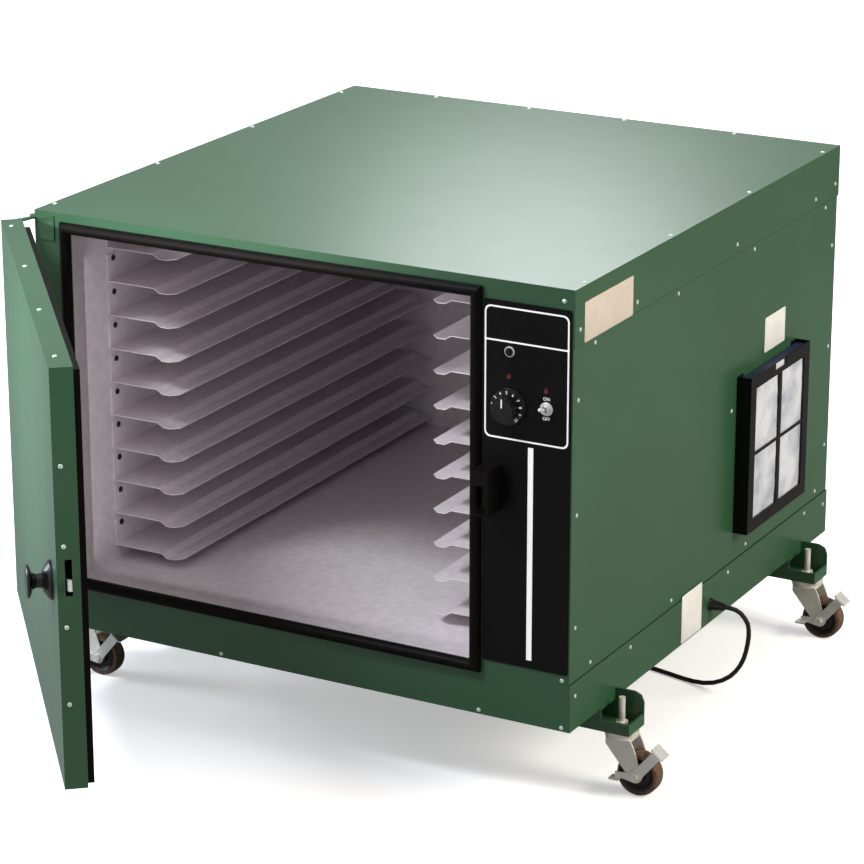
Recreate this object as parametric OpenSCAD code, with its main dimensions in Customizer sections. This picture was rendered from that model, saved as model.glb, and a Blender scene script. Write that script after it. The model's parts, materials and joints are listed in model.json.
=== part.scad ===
// Screen drying cabinet: a sheet metal case on four braked casters, with ten pairs of
// runners in a lined chamber, a side hinged door, a control column on the right and a
// filtered, heated air supply behind it. Millimetres, +Z up, floor at z = 0.
// The front is at the low Y side. The door is drawn part open, as it hangs in use.

/* [Case] */
// Width of the case across its front
case_w = 864; // [820:1:940]
// Depth of the case from front to back
case_d = 911; // [880:1:1000]
// Height of the case without its casters
case_h = 632; // [600:1:700]
// Sheet thickness of the outer panels
sheet = 1.5; // [1:0.1:2]
// Sheet thickness of the liner
liner_t = 1; // [0.8:0.1:1.4]
// Depth of the cover's flange down the sides and the back
cover_flange = 79; // [40:1:110]
// Height of the cover's lip over the front
cover_lip = 7; // [4:0.5:12]
// Height of the base pan's flange
pan_flange = 70; // [40:1:76]

/* [Front] */
// Width of the stile on the hinge side, up to the opening
stile_w = 61.5; // [55:0.5:80]
// Width of the control column, from the opening to the case's side
column_w = 153.5; // [148:0.5:190]
// Height of the sill below the opening
sill_h = 80; // [74:1:100]
// Height of the header above the opening
header_h = 28; // [26:1:40]
// Width of the rubber gasket's band
gasket_w = 15.5; // [12:0.5:18]
// How far the gasket stands proud of the front
gasket_proud = 12; // [8:0.5:12]
// Wall of the hollow gasket
gasket_wall = 2.5; // [2:0.1:3.5]

/* [Runners] */
// Number of runner pairs
runner_n = 10; // [6:1:10]
// Width of a runner from the wall to its inner edge
runner_w = 114; // [90:1:130]
// Sheet thickness of a runner
runner_t = 1.2; // [1:0.1:1.6]
// Height of a runner's wall flange
runner_flange = 40; // [20:1:41]
// Drop of the inner ledge below the shelf
ledge_drop = 6; // [3:0.5:8]
// Width of the inner ledge
ledge_w = 24; // [16:1:40]
// Height of the lowest runner above the chamber's floor
runner_foot = 22; // [18:1:40]
// Height left above the highest runner
runner_head = 42; // [42:1:60]
// Distance from the case's front to the runners
runner_setback = 88; // [60:1:120]

/* [Door] */
// Width of the door
door_w = 714; // [690:1:714]
// Height of the door
door_h = 565; // [560:1:566]
// Thickness of the door
door_t = 30; // [26:0.5:36]
// Sheet thickness of the door
door_sheet = 1.2; // [1:0.1:1.6]
// Angle at which the door is drawn open
door_open = 49.5; // [20:0.5:90]
// Gap between the case's front and the door's inner face when it is shut
door_gap = 21; // [21:0.5:26]
// Distance from the door's free edge to the knob
knob_backset = 78; // [60:1:90]
// Diameter of the knob's disc
knob_d = 44; // [36:1:50]
// Diameter of the knob's rose
rose_d = 52; // [46:1:60]

/* [Controls] */
// Width of the black control plate
plate_w = 130.5; // [128:0.5:134]
// Height of the black control plate
plate_h = 519; // [500:1:520]
// Diameter of the thermostat's dial
dial_d = 54; // [46:1:56]
// Diameter of the breaker's button ring
breaker_d = 11.2; // [9:0.2:13]
// Diameter of an indicator lamp
lamp_d = 8; // [6:0.5:10]

/* [Air] */
// Width of the filter holder along the case
filter_w = 221; // [200:1:240]
// Height of the filter holder
filter_h = 245; // [220:1:260]
// How far the filter holder stands out of the side
filter_t = 22; // [18:0.5:28]
// Distance from the case's back to the filter's middle
filter_back = 257.5; // [240:0.5:300]
// Height of the filter holder above the case's underside
filter_rise = 116; // [100:1:140]
// Diameter of the fan
fan_d = 168; // [150:1:174]
// Number of fan blades
blade_n = 5; // [4:1:7]

/* [Casters] */
// Wheel diameter
wheel_d = 63.5; // [56:0.1:66]
// Wheel width
wheel_w = 24; // [20:0.5:26]
// Height from the floor to the bracket over the caster
caster_h = 93.5; // [92:0.5:110]
// How far the axle trails behind the stem
caster_trail = 30; // [24:0.5:32]
// How far the stem stands outside the case's side
stem_out = 21; // [20:0.5:26]
// Distance from the case's front or back to the stem
stem_inset = 122; // [80:1:160]
// Depth of a caster bracket below the case
bracket_drop = 34; // [30:0.5:44]

/* [Mains lead] */
// Diameter of the mains lead
cord_d = 7; // [6:0.1:8]
// Height of the lead's gland above the case's underside
gland_rise = 28.5; // [24:0.5:40]
// Distance from the case's back to the gland
gland_back = 446; // [400:1:480]

/* [Hidden] */

// Running and seat clearances, and the overrun of every cut
run_gap = 0.05;
seat_gap = 0.3;
over = 5;

// Heights above the floor
lift = caster_h + bracket_drop;
top_z = lift + case_h;
open_z0 = lift + sill_h;
open_z1 = top_z - header_h;
open_x0 = stile_w;
open_x1 = case_w - column_w;
open_h = open_z1 - open_z0;

// Chamber depth: the gap behind the liner carries the outgoing air to the louvres
rear_gap = 41;
chamber_y1 = case_d - rear_gap;

// Hinge pivot, just in front of the case's front left corner
pivot_x = 0;
pivot_y = -4.5;
door_edge = 14.5;
door_rise = 59;
door_z0 = lift + door_rise;
door_z1 = door_z0 + door_h;
door_x1 = door_edge + door_w;
door_y0 = -door_gap - door_t;

// Door knob and latch
knob_x = door_x1 - knob_backset;
knob_drop = 287;
knob_z = open_z1 - knob_drop;
latch_angle = 15.5;
latch_t = 5;
latch_h = 14;
latch_y = -door_gap - door_t / 2 + latch_t / 2;
latch_out = 21;
spindle_r = 6;

// Control plate and what is on it, measured from the plate's left and upper edges
plate_t = 2;
plate_gap = 3;
plate_head = 0.5;
dial_inset = 38;
dial_drop = 146.5;
breaker_shift = 1.5;
breaker_drop = 69;
lamp_1_shift = 1;
lamp_1_drop = 104;
toggle_inset = 95;
toggle_drop = 141;
lamp_2_rise = 25;
plate_x0 = open_x1 + gasket_w + plate_gap;
plate_z1 = open_z1 - plate_head;
plate_z0 = plate_z1 - plate_h;
dial_x = plate_x0 + dial_inset;
dial_z = plate_z1 - dial_drop;
breaker_x = dial_x + breaker_shift;
breaker_z = plate_z1 - breaker_drop;
lamp_1_x = dial_x + lamp_1_shift;
lamp_1_z = plate_z1 - lamp_1_drop;
toggle_x = plate_x0 + toggle_inset;
toggle_z = plate_z1 - toggle_drop;
lamp_2_z = toggle_z + lamp_2_rise;
lamp_1 = [lamp_1_x, lamp_1_z];
lamp_2 = [toggle_x, lamp_2_z];

// How far the hoods of the louvres stand out of the back panel
louvre_hood = 7;

// Caster parts
leg_gap = 2;
leg_t = 2.5;
axle_r = 4;
race_r = 25;
race_h = 5;
crown_r = 23;
kingpin_r = 5;
pedal_r = 50;
pedal_angle = 50;
pedal_w = 22;
pedal_in = 22;
lever_t = 2.5;
fork_y = wheel_w / 2 + leg_gap;
axle_z = wheel_d / 2;
crown_z1 = caster_h - race_h - seat_gap;
crown_z0 = crown_z1 - race_h;
CASTERS = [[case_w + stem_out, stem_inset], [case_w + stem_out, case_d - stem_inset],
    [-stem_out, stem_inset], [-stem_out, case_d - stem_inset]];

// The origin is on the floor under the middle of the whole, the lead left out:
// in x from the left caster's race to the right brake's pedal, in y from the open
// door's corner to the louvres at the back
reach_x0 = -stem_out - race_r;
reach_x1 = case_w + stem_out + caster_trail + (pedal_r + lever_t) * cos(pedal_angle)
    + pedal_w / 2 * sin(pedal_angle);
reach_y1 = case_d - sheet + louvre_hood;
door_corner = turn([door_x1 - pivot_x, door_y0 - pivot_y], -door_open);
origin_x = (reach_x0 + reach_x1) / 2;
origin_y = (reach_y1 + pivot_y + door_corner[1]) / 2;

function turn(p, a) = [p[0] * cos(a) - p[1] * sin(a), p[0] * sin(a) + p[1] * cos(a)];

module in_case() translate([-origin_x, -origin_y, 0]) children();

module block(lo, hi) translate(lo) cube(hi - lo);

// A vertical profile drawn in x and z, extruded along y from y0 to y1
module along_y(y0, y1) translate([0, y1, 0]) rotate([90, 0, 0]) linear_extrude(y1 - y0)
    children();

// A profile drawn in y and z, extruded along x from x0 to x1
module along_x(x0, x1) translate([x0, 0, 0]) rotate([90, 0, 90]) linear_extrude(x1 - x0)
    children();

// A round rod along y
module rod_y(x, z, y0, y1, r, sides = 24) translate([x, y1, z]) rotate([90, 0, 0])
    cylinder(h = y1 - y0, r = r, $fn = sides);

// A round rod along x
module rod_x(y, z, x0, x1, r, sides = 24) translate([x0, y, z]) rotate([0, 90, 0])
    cylinder(h = x1 - x0, r = r, $fn = sides);

shell_colour = "#46694B";
front_colour = "#2F6B55";
liner_colour = "#B9ADB4";
black_colour = "#1C1719";
steel_colour = "#C3C2BE";
rubber_colour = "#2A2223";
filter_colour = "#E9E6E0";

// Cover: one folded sheet, open below, with a short lip at the front
module top_cover() color(shell_colour) in_case() difference() {
    block([0, 0, top_z - cover_flange], [case_w, case_d, top_z]);
    block([sheet, sheet, top_z - cover_flange - over],
        [case_w - sheet, case_d - sheet, top_z - sheet]);
    block([sheet, -over, top_z - cover_flange - over],
        [case_w - sheet, sheet + over, top_z - cover_lip]);
}

// Base pan: a floor with flanges up both sides and the back
module base_pan() color(shell_colour) in_case() difference() {
    block([0, 0, lift], [case_w, case_d, lift + pan_flange]);
    block([sheet, -over, lift + sheet],
        [case_w - sheet, case_d - sheet, lift + pan_flange + over]);
    rod_x(gland_y, gland_z, case_w - sheet - over, case_w + over, gland_bore_r);
}

side_hem = 14;

module side_panel(outer_x, inward) {
    x0 = min(outer_x, outer_x + inward * sheet);
    hem = outer_x + inward * side_hem;
    block([x0, sheet, lift + sheet], [x0 + sheet, case_d - sheet, top_z - sheet]);
    block([min(outer_x, hem), sheet, lift + pan_flange],
        [max(outer_x, hem), sheet * 2, open_z1 - over]);
}

module left_side_panel() color(shell_colour) in_case() side_panel(sheet, 1);

intake_margin = 20;

module right_side_panel() color(shell_colour) in_case() difference() {
    side_panel(case_w - sheet, -1);
    block([case_w - over, filter_y - filter_w / 2 + intake_margin, filter_z + intake_margin],
        [case_w + over, filter_y + filter_w / 2 - intake_margin,
        filter_z + filter_h - intake_margin]);
    rod_x(gland_y, gland_z, case_w - sheet - over, case_w + over, gland_bore_r);
}

// Louvre slots for the outgoing air, in two banks high on the back
louvre_w = 150;
louvre_h = 6;
louvre_pitch = 20;
louvre_n = 5;
louvre_drop = 130;
louvre_inset = 165;
louvre_x = [open_x0 + louvre_inset, open_x1 - louvre_inset];

module louvre_cuts(y0, y1) for (x = louvre_x, i = [0 : louvre_n - 1])
    block([x - louvre_w / 2, y0, top_z - louvre_drop - i * louvre_pitch],
        [x + louvre_w / 2, y1, top_z - louvre_drop - i * louvre_pitch + louvre_h]);

// A louvre's hood: a sheet that leaves the panel above the slot and leans out over it
module louvre_hood(x, z) {
    y = case_d - sheet;
    along_x(x - louvre_w / 2, x + louvre_w / 2) polygon([[y, z + louvre_h + sheet],
        [y - sheet / 2, z + louvre_h + sheet], [y - sheet / 2, z + louvre_h],
        [y, z + louvre_h], [y + louvre_hood - sheet, z], [y + louvre_hood, z]]);
}

module back_panel() color(shell_colour) in_case() {
    difference() {
        block([sheet * 2, case_d - sheet * 2, lift + sheet],
            [case_w - sheet * 2, case_d - sheet, top_z - sheet]);
        louvre_cuts(case_d - sheet * 2 - over, case_d + over);
    }
    for (x = louvre_x, i = [0 : louvre_n - 1])
        louvre_hood(x, top_z - louvre_drop - i * louvre_pitch);
}

// Face frame: stile, header, sill and control stile are folded strips behind the gasket
frame_hem = 16;

module hinge_stile() color(front_colour) in_case() {
    block([sheet, 0, open_z0], [open_x0, sheet, open_z1]);
    block([open_x0 - liner_t - sheet - frame_hem, 0, open_z0 + frame_hem],
        [open_x0 - liner_t - frame_hem, sheet + frame_hem, open_z1 - frame_hem]);
}

module front_header() color(front_colour) in_case() {
    block([sheet, 0, open_z1], [case_w - sheet, sheet, top_z - cover_lip]);
    block([sheet * 2, 0, top_z - cover_lip - sheet],
        [case_w - sheet * 2, sheet + frame_hem, top_z - cover_lip]);
}

module front_sill() color(front_colour) in_case() {
    block([sheet, 0, lift + sheet], [case_w - sheet, sheet, open_z0]);
    block([sheet * 2, 0, lift + sheet], [case_w - sheet * 2, sheet + frame_hem,
        lift + sheet * 2]);
}

// Window behind the control plate, for what is mounted on the plate
window_margin = 8;
window_below = 40;
window_above = 24;
window_x0 = plate_x0 + window_margin;
window_x1 = plate_x0 + plate_w - window_margin;
window_z0 = dial_z - window_below;
window_z1 = breaker_z + window_above;

module control_stile() color(front_colour) in_case() difference() {
    block([open_x1, 0, open_z0], [case_w - sheet, sheet, open_z1]);
    block([window_x0, -over, window_z0], [window_x1, sheet + over, window_z1]);
}

// Liner: five sheets that stand behind the face frame
module liner_side(x0) block([x0, sheet, open_z0 - liner_t],
    [x0 + liner_t, chamber_y1 + liner_t, open_z1 + liner_t]);

module liner_left() color(liner_colour) in_case() liner_side(open_x0 - liner_t);

// Air slots in the right liner, one over each runner
air_slot_w = 420;
air_slot_h = 5;
air_slot_rise = 3;

module liner_right() color(liner_colour) in_case() difference() {
    liner_side(open_x1);
    for (i = [0 : runner_n - 1])
        block([open_x1 - over, chamber_mid_y - air_slot_w / 2,
            runner_z(i) + runner_flange + air_slot_rise],
            [open_x1 + over, chamber_mid_y + air_slot_w / 2,
            runner_z(i) + runner_flange + air_slot_rise + air_slot_h]);
}

module liner_back() color(liner_colour) in_case() difference() {
    block([open_x0, chamber_y1, open_z0 - liner_t], [open_x1, chamber_y1 + liner_t,
        open_z1 + liner_t]);
    louvre_cuts(chamber_y1 - over, chamber_y1 + over);
}

module liner_top() color(liner_colour) in_case()
    block([open_x0, sheet, open_z1], [open_x1, chamber_y1, open_z1 + liner_t]);

module liner_floor() color(liner_colour) in_case()
    block([open_x0, sheet, open_z0 - liner_t], [open_x1, chamber_y1, open_z0]);

chamber_mid_y = (runner_setback + chamber_y1) / 2;

// Gasket: a hollow bulb of rubber round the opening, with mitred corners. Its section has
// straight sides up to the shoulder and a round top
gasket_shoulder = 4.25;
bulb_steps = 14;

// The section's points: distance from the gasket's outer edge, and height off the front
function bulb_section(shrink) = let (r = gasket_w / 2 - shrink,
    rise = gasket_proud - gasket_shoulder - shrink)
    concat([[gasket_w / 2 + r, shrink]],
        [for (i = [0 : bulb_steps]) let (a = 180 * i / bulb_steps)
        [gasket_w / 2 + r * cos(a), gasket_shoulder + rise * sin(a)]],
        [[gasket_w / 2 - r, shrink]]);

// The section swept round a rectangle w wide and h high, each corner a mitre
module bulb_ring(w, h, shrink) {
    s = bulb_section(shrink);
    n = len(s);
    points = concat([for (p = s) [p[0], -p[1], p[0]]], [for (p = s) [w - p[0], -p[1], p[0]]],
        [for (p = s) [w - p[0], -p[1], h - p[0]]], [for (p = s) [p[0], -p[1], h - p[0]]]);
    polyhedron(points = points, faces = [for (c = [0 : 3], i = [0 : n - 1])
        let (d = (c + 1) % 4, j = (i + 1) % n) [c * n + i, d * n + i, d * n + j, c * n + j]],
        convexity = 4);
}

module door_gasket() color(rubber_colour) in_case()
    translate([open_x0 - gasket_w, 0, open_z0 - gasket_w]) difference() {
        w = open_x1 - open_x0 + gasket_w * 2;
        h = open_h + gasket_w * 2;
        bulb_ring(w, h, 0);
        bulb_ring(w, h, gasket_wall);
    }

// Runners: a wall flange, a shelf, and a ledge joggled down at the inner edge
runner_pitch = (open_h - runner_foot - runner_head) / (runner_n - 1);
runner_back_gap = 7;
runner_y1 = chamber_y1 - runner_back_gap;
joggle_w = 10;
runner_nose = 16;

function runner_z(i) = open_z0 + runner_foot + i * runner_pitch;

module runner_profile() {
    ledge_x = runner_w - ledge_w;
    shelf_x = ledge_x - joggle_w;
    polygon([[0, 0], [shelf_x, 0], [ledge_x, -ledge_drop], [runner_w, -ledge_drop],
        [runner_w, runner_t - ledge_drop], [ledge_x, runner_t - ledge_drop],
        [shelf_x, runner_t], [runner_t, runner_t], [runner_t, runner_flange],
        [0, runner_flange]]);
}

// One left hand runner at the wall, its nose cut back at the inner corner
module runner() difference() {
    along_y(runner_setback, runner_y1) runner_profile();
    translate([runner_w, runner_setback, 0]) rotate([0, 0, 45])
        cube([runner_nose, runner_nose, runner_pitch], center = true);
}

module left_runners() color(liner_colour) in_case() for (i = [0 : runner_n - 1])
    translate([open_x0, 0, runner_z(i)]) runner();

module right_runners() color(liner_colour) in_case() for (i = [0 : runner_n - 1])
    translate([open_x1, 0, runner_z(i)]) mirror([1, 0, 0]) runner();

// Control plate, with holes for the dial's shaft, breaker, toggle and lamps
shaft_r = 3;
bush_r = 6;
plate_corner = 3;

module control_plate() color(black_colour) in_case() difference() {
    translate([plate_x0, 0, plate_z0]) along_y(-plate_t, 0)
        translate([plate_corner, plate_corner]) offset(r = plate_corner, $fn = 16)
        square([plate_w - plate_corner * 2, plate_h - plate_corner * 2]);
    rod_y(dial_x, dial_z, -over, over, shaft_r + seat_gap);
    rod_y(breaker_x, breaker_z, -over, over, breaker_d / 2 - breaker_rim);
    rod_y(toggle_x, toggle_z, -over, over, bush_r);
    for (l = [lamp_1, lamp_2])
        rod_y(l[0], l[1], -over, over, lamp_d / 2 - lamp_rim);
}

// Thermostat: a switch body behind the plate, its shaft through it, and the dial on it
thermostat_w = 46;
thermostat_d = 34;
shaft_out = 16;

module thermostat_body() color("#B8B4A6") in_case() {
    block([dial_x - thermostat_w / 2, 0, dial_z - thermostat_w / 2],
        [dial_x + thermostat_w / 2, thermostat_d, dial_z + thermostat_w / 2]);
    rod_y(dial_x, dial_z, -plate_t - shaft_out, thermostat_d / 2, shaft_r);
}

dial_gap = 1;
skirt_h = 5;
grip_d = 34;
grip_h = 15;
grip_flutes = 12;
flute_r = 2.2;

module dial_knob() color(black_colour) in_case()
    translate([dial_x, -plate_t - dial_gap, dial_z]) rotate([90, 0, 0]) difference() {
        union() {
            cylinder(h = skirt_h, r1 = dial_d / 2, r2 = dial_d / 2 - skirt_h / 2, $fn = 48);
            translate([0, 0, skirt_h / 2]) linear_extrude(grip_h + skirt_h / 2) difference() {
                circle(r = grip_d / 2, $fn = 48);
                for (i = [0 : grip_flutes - 1]) rotate(i * 360 / grip_flutes)
                    translate([grip_d / 2 + flute_r / 2, 0]) circle(r = flute_r, $fn = 16);
            }
        }
        translate([0, 0, -over]) cylinder(h = shaft_out + over, r = shaft_r + run_gap,
            $fn = 24);
    }

// Toggle switch: a body behind the plate, a threaded bush with its nut, and the bat lever
toggle_w = 18;
toggle_h = 30;
toggle_d = 28;
bush_out = 7;
nut_r = 8.6;
nut_t = 2.4;
lever_len = 17;
lever_r = 2.9;
lever_neck_r = 1.7;
lever_tilt = 14;
toggle_ball_r = 2.6;

module toggle_body() color(steel_colour) in_case() {
    difference() {
        union() {
            block([toggle_x - toggle_w / 2, 0, toggle_z - toggle_h / 2],
                [toggle_x + toggle_w / 2, toggle_d, toggle_z + toggle_h / 2]);
            rod_y(toggle_x, toggle_z, -plate_t - bush_out, toggle_d / 2, bush_r);
            rod_y(toggle_x, toggle_z, -plate_t - nut_t, -plate_t, nut_r, 6);
        }
        rod_y(toggle_x, toggle_z, -plate_t - bush_out - over, -plate_t,
            toggle_ball_r + seat_gap);
        translate([toggle_x, -plate_t - bush_out, toggle_z]) rotate([-90, 0, 0])
            cylinder(h = bush_out, r1 = bush_r - nut_t / 2, r2 = toggle_ball_r + seat_gap,
            $fn = 24);
    }
}

module toggle_lever() color(steel_colour) in_case()
    translate([toggle_x, -plate_t - toggle_ball_r - seat_gap, toggle_z])
    rotate([90 - lever_tilt, 0, 0]) {
        sphere(r = toggle_ball_r, $fn = 20);
        cylinder(h = lever_len, r1 = lever_neck_r, r2 = lever_r, $fn = 20);
        translate([0, 0, lever_len]) sphere(r = lever_r, $fn = 20);
    }

// Breaker: a ring on the plate, a body behind it and the button in the ring
breaker_rim = 1.8;
breaker_body_d = 20;
breaker_body_l = 34;
breaker_ring_t = 3;
button_out = 4;
button_in = 5;
button_travel = 2.5;
button_wall = 1;
button_r = breaker_d / 2 - breaker_rim - button_wall;

module breaker_body() color(black_colour) in_case() difference() {
    union() {
        rod_y(breaker_x, breaker_z, -plate_t - breaker_ring_t, -plate_t, breaker_d / 2);
        rod_y(breaker_x, breaker_z, -plate_t - breaker_ring_t, breaker_body_l,
            breaker_d / 2 - breaker_rim);
        rod_y(breaker_x, breaker_z, 0, breaker_body_l, breaker_body_d / 2);
    }
    rod_y(breaker_x, breaker_z, -plate_t - breaker_ring_t - over,
        button_in + button_travel + seat_gap, button_r + seat_gap);
}

module breaker_button() color(black_colour) in_case()
    rod_y(breaker_x, breaker_z, -plate_t - breaker_ring_t - button_out, button_in,
        button_r);

// Indicator lamps: domed lenses with a body behind the plate
lamp_rim = 1;
lamp_body_l = 22;
lamp_dome = 2.5;

module indicator_lamps() color("#7A1020") in_case() for (l = [lamp_1, lamp_2])
    translate([l[0], -plate_t, l[1]]) rotate([90, 0, 0]) {
        cylinder(h = lamp_dome, r1 = lamp_d / 2, r2 = lamp_d / 2 - lamp_rim, $fn = 24);
        translate([0, 0, -plate_t - lamp_body_l])
            cylinder(h = plate_t + lamp_body_l, r = lamp_d / 2 - lamp_rim, $fn = 24);
    }

// Keeper for the latch: a folded box on the plate's left edge. Its side is open to the
// door's edge and its front is open below, where the latch comes in. The latch lifts
// behind the lip above.
keeper_inset = 3.5;
keeper_w = 24;
keeper_below = 8;
keeper_above = 57;
keeper_mouth_h = 35;
keeper_clear = 1;
keeper_t = 2;
keeper_x0 = plate_x0 + keeper_inset;
keeper_x1 = keeper_x0 + keeper_w;
keeper_z0 = knob_z - keeper_below;
keeper_z1 = knob_z + keeper_above;
keeper_y0 = latch_y - latch_t - keeper_clear - keeper_t;
keeper_lip_z = knob_z + keeper_mouth_h;

module strike_keeper() color(black_colour) in_case() difference() {
    block([keeper_x0, keeper_y0, keeper_z0], [keeper_x1, -plate_t, keeper_z1]);
    block([keeper_x0 - over, keeper_y0 + keeper_t, keeper_z0 + keeper_t],
        [keeper_x1 - keeper_t, -plate_t - keeper_t, keeper_z1 - keeper_t]);
    block([keeper_x0 - over, keeper_y0 - over, keeper_z0 + keeper_t],
        [keeper_x1 - keeper_t, keeper_y0 + keeper_t + over, keeper_lip_z]);
}

// Air intake: filter holder outside, then a short duct with the fan in its orifice
filter_y = case_d - filter_back;
filter_z = lift + filter_rise;
filter_bar = 20;
filter_cross = 11;
filter_bars = 5;
filter_skin = 1.5;
filter_notch = 40;
filter_clear = 0.5;
filter_lip = 12;
media_t = filter_t + sheet - filter_skin * 2 - filter_clear * 2;

// Filter holder: a back flange, closed sides and foot, an open top and a barred face
module filter_frame() color(black_colour) in_case() {
    y0 = filter_y - filter_w / 2;
    y1 = filter_y + filter_w / 2;
    x0 = case_w - sheet;
    x1 = case_w + filter_t;
    z1 = filter_z + filter_h;
    difference() {
        block([x0, y0, filter_z], [x1, y1, z1]);
        block([x0 - over, y0 + filter_skin, filter_z + filter_skin],
            [x1 - filter_skin, y1 - filter_skin, z1 + over]);
        for (side = [0, 1]) {
            pane_w = (filter_w - filter_bar * 2 - filter_cross) / 2;
            pane_y = y0 + filter_bar + side * (pane_w + filter_cross);
            block([x0 - over, pane_y, filter_z + filter_bar],
                [x1 + over, pane_y + pane_w, z1 - filter_bar]);
        }
        block([x0 - over, filter_y - filter_notch / 2, z1 - filter_lip],
            [x1 + over, filter_y + filter_notch / 2, z1 + over]);
    }
    difference() {
        block([x0, y0 + filter_skin / 2, filter_z + filter_skin / 2],
            [x0 + filter_skin, y1 - filter_skin / 2, z1]);
        block([x0 - over, y0 + filter_bar, filter_z + filter_bar],
            [x1, y1 - filter_bar, z1 + over]);
    }
    block([x1 - filter_skin, y0 + filter_bar / 2, filter_z + (filter_h - filter_bars) / 2],
        [x1, y1 - filter_bar / 2, filter_z + (filter_h + filter_bars) / 2]);
}

// Filter: a fibrous pad that slides up out of the holder, with a thin rim round it
media_top = 5;

module air_filter() color(filter_colour) in_case()
    block([case_w - sheet + filter_skin + filter_clear,
        filter_y - filter_w / 2 + filter_skin + filter_clear,
        filter_z + filter_skin + seat_gap],
        [case_w - sheet + filter_skin + filter_clear + media_t,
        filter_y + filter_w / 2 - filter_skin - filter_clear, filter_z + filter_h
        - media_top]);

// Duct from the intake to the fan: four walls and a front plate with a round orifice
duct_margin = 3;
duct_w = filter_w - duct_margin * 2;
duct_h = filter_h - duct_margin * 2;
duct_l = 40;
duct_x1 = case_w - sheet * 2;
duct_x0 = duct_x1 - duct_l;
fan_z = filter_z + filter_h / 2;
fan_tip_gap = 4;
strut_w = 8;
strut_t = 2;

module fan_housing() color("#8F9392") in_case() {
    y0 = filter_y - duct_w / 2;
    z0 = fan_z - duct_h / 2;
    difference() {
        block([duct_x0, y0, z0], [duct_x1, y0 + duct_w, z0 + duct_h]);
        block([duct_x0 + sheet, y0 + sheet, z0 + sheet],
            [duct_x1 + over, y0 + duct_w - sheet, z0 + duct_h - sheet]);
        rod_x(filter_y, fan_z, duct_x0 - over, duct_x1, fan_d / 2 + fan_tip_gap, 48);
    }
    for (a = [45, 135]) difference() {
        intersection() {
            translate([motor_x1, filter_y, fan_z]) rotate([a, 0, 0])
                translate([0, -duct_w, -strut_w / 2]) cube([strut_t, duct_w * 2, strut_w]);
            block([motor_x1, y0, z0], [duct_x0, y0 + duct_w, z0 + duct_h]);
        }
        rod_x(filter_y, fan_z, motor_x1 - over, motor_x1 + over, motor_boss_r + seat_gap);
    }
    for (y = [-1, 1], z = [-1, 1]) {
        leg = min(duct_w, duct_h) / 2 - strut_w;
        block([motor_x1, filter_y + y * leg - strut_w / 2, fan_z + z * leg - strut_w / 2],
            [duct_x0 + sheet / 2, filter_y + y * leg + strut_w / 2,
            fan_z + z * leg + strut_w / 2]);
    }
}

// Motor: a can behind the struts, with its boss and shaft through them
motor_gap = 8;
motor_r = 40;
motor_l = 46;
motor_boss_r = 14;
motor_shaft_r = 4;
motor_x1 = duct_x0 - motor_gap - strut_t;
hub_r = 24;
hub_l = 22;
hub_gap = 3;
hub_x0 = motor_x1 + strut_t + hub_gap;

module fan_motor() color("#6F7370") in_case() {
    rod_x(filter_y, fan_z, motor_x1 - motor_l, motor_x1, motor_r, 40);
    rod_x(filter_y, fan_z, motor_x1 - strut_t, motor_x1 + strut_t, motor_boss_r);
    rod_x(filter_y, fan_z, motor_x1 - strut_t, hub_x0 + hub_l - strut_t, motor_shaft_r);
}

blade_t = 1.6;
blade_pitch = 28;
blade_root_w = 26;
blade_tip_w = 44;

// Fan wheel: a hub on the shaft and pitched blades that widen to round tips
module fan_wheel() color("#A5A8A6") in_case() translate([hub_x0, filter_y, fan_z])
    rotate([0, 90, 0]) difference() {
        union() {
            cylinder(h = hub_l, r = hub_r, $fn = 32);
            intersection() {
                cylinder(h = hub_l, r = fan_d / 2, $fn = 64);
                for (i = [0 : blade_n - 1]) rotate([0, 0, i * 360 / blade_n])
                    translate([0, 0, hub_l / 2]) rotate([blade_pitch, 0, 0])
                    translate([0, 0, -blade_t / 2]) linear_extrude(blade_t)
                    polygon([[hub_r / 2, -blade_root_w / 2], [fan_d / 2, -blade_tip_w / 2],
                        [fan_d / 2, blade_tip_w / 2], [hub_r / 2, blade_root_w / 2]]);
            }
        }
        translate([0, 0, -over]) cylinder(h = hub_l + over * 2, r = motor_shaft_r + run_gap,
            $fn = 24);
    }

// Heater: a channel on the liner that holds upright sheathed rods
heater_setback = 110;
heater_rise = 130;
heater_margin = 6;
heater_y = filter_y - filter_w / 2 - heater_setback;
heater_n = 3;
heater_pitch = 26;
heater_rod_r = 4;
heater_len = 260;
heater_z0 = lift + heater_rise;
heater_arm = 34;
heater_t = 2;
heater_w = heater_pitch * heater_n + heater_margin * 2;

module heater() color("#9C8E82") in_case() {
    for (z = [heater_z0, heater_z0 + heater_len]) difference() {
        union() {
            block([open_x1 + liner_t, heater_y - heater_w / 2, z],
                [open_x1 + liner_t + heater_arm, heater_y + heater_w / 2, z + heater_t]);
            block([open_x1 + liner_t, heater_y - heater_w / 2, z],
                [open_x1 + liner_t + heater_t, heater_y + heater_w / 2, z + heater_arm / 2]);
        }
        heater_rods(over, heater_rod_r + run_gap);
    }
    heater_rods(0, heater_rod_r);
}

module heater_rods(extra, r) for (i = [0 : heater_n - 1])
    translate([open_x1 + liner_t + heater_arm - heater_rod_r * 3,
        heater_y + (i - (heater_n - 1) / 2) * heater_pitch, heater_z0 - heater_arm / 2 - extra])
    cylinder(h = heater_len + heater_arm + extra * 2, r = r, $fn = 16);

// Mains lead: a gland in the side, a free stretch to the floor, and the rest of the lead
// wound in a coil under the case with its tie and plug
gland_y = case_d - gland_back;
gland_z = lift + gland_rise;
gland_bore_r = 8;
gland_flange_r = 10;
gland_flange_t = 4;
gland_len = 24;
gland_wall = 1.5;
gland_tip_r = cord_d / 2 + gland_wall;
gland_in = 10;
gland_rib = 0.8;
gland_rib_n = 4;

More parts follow.
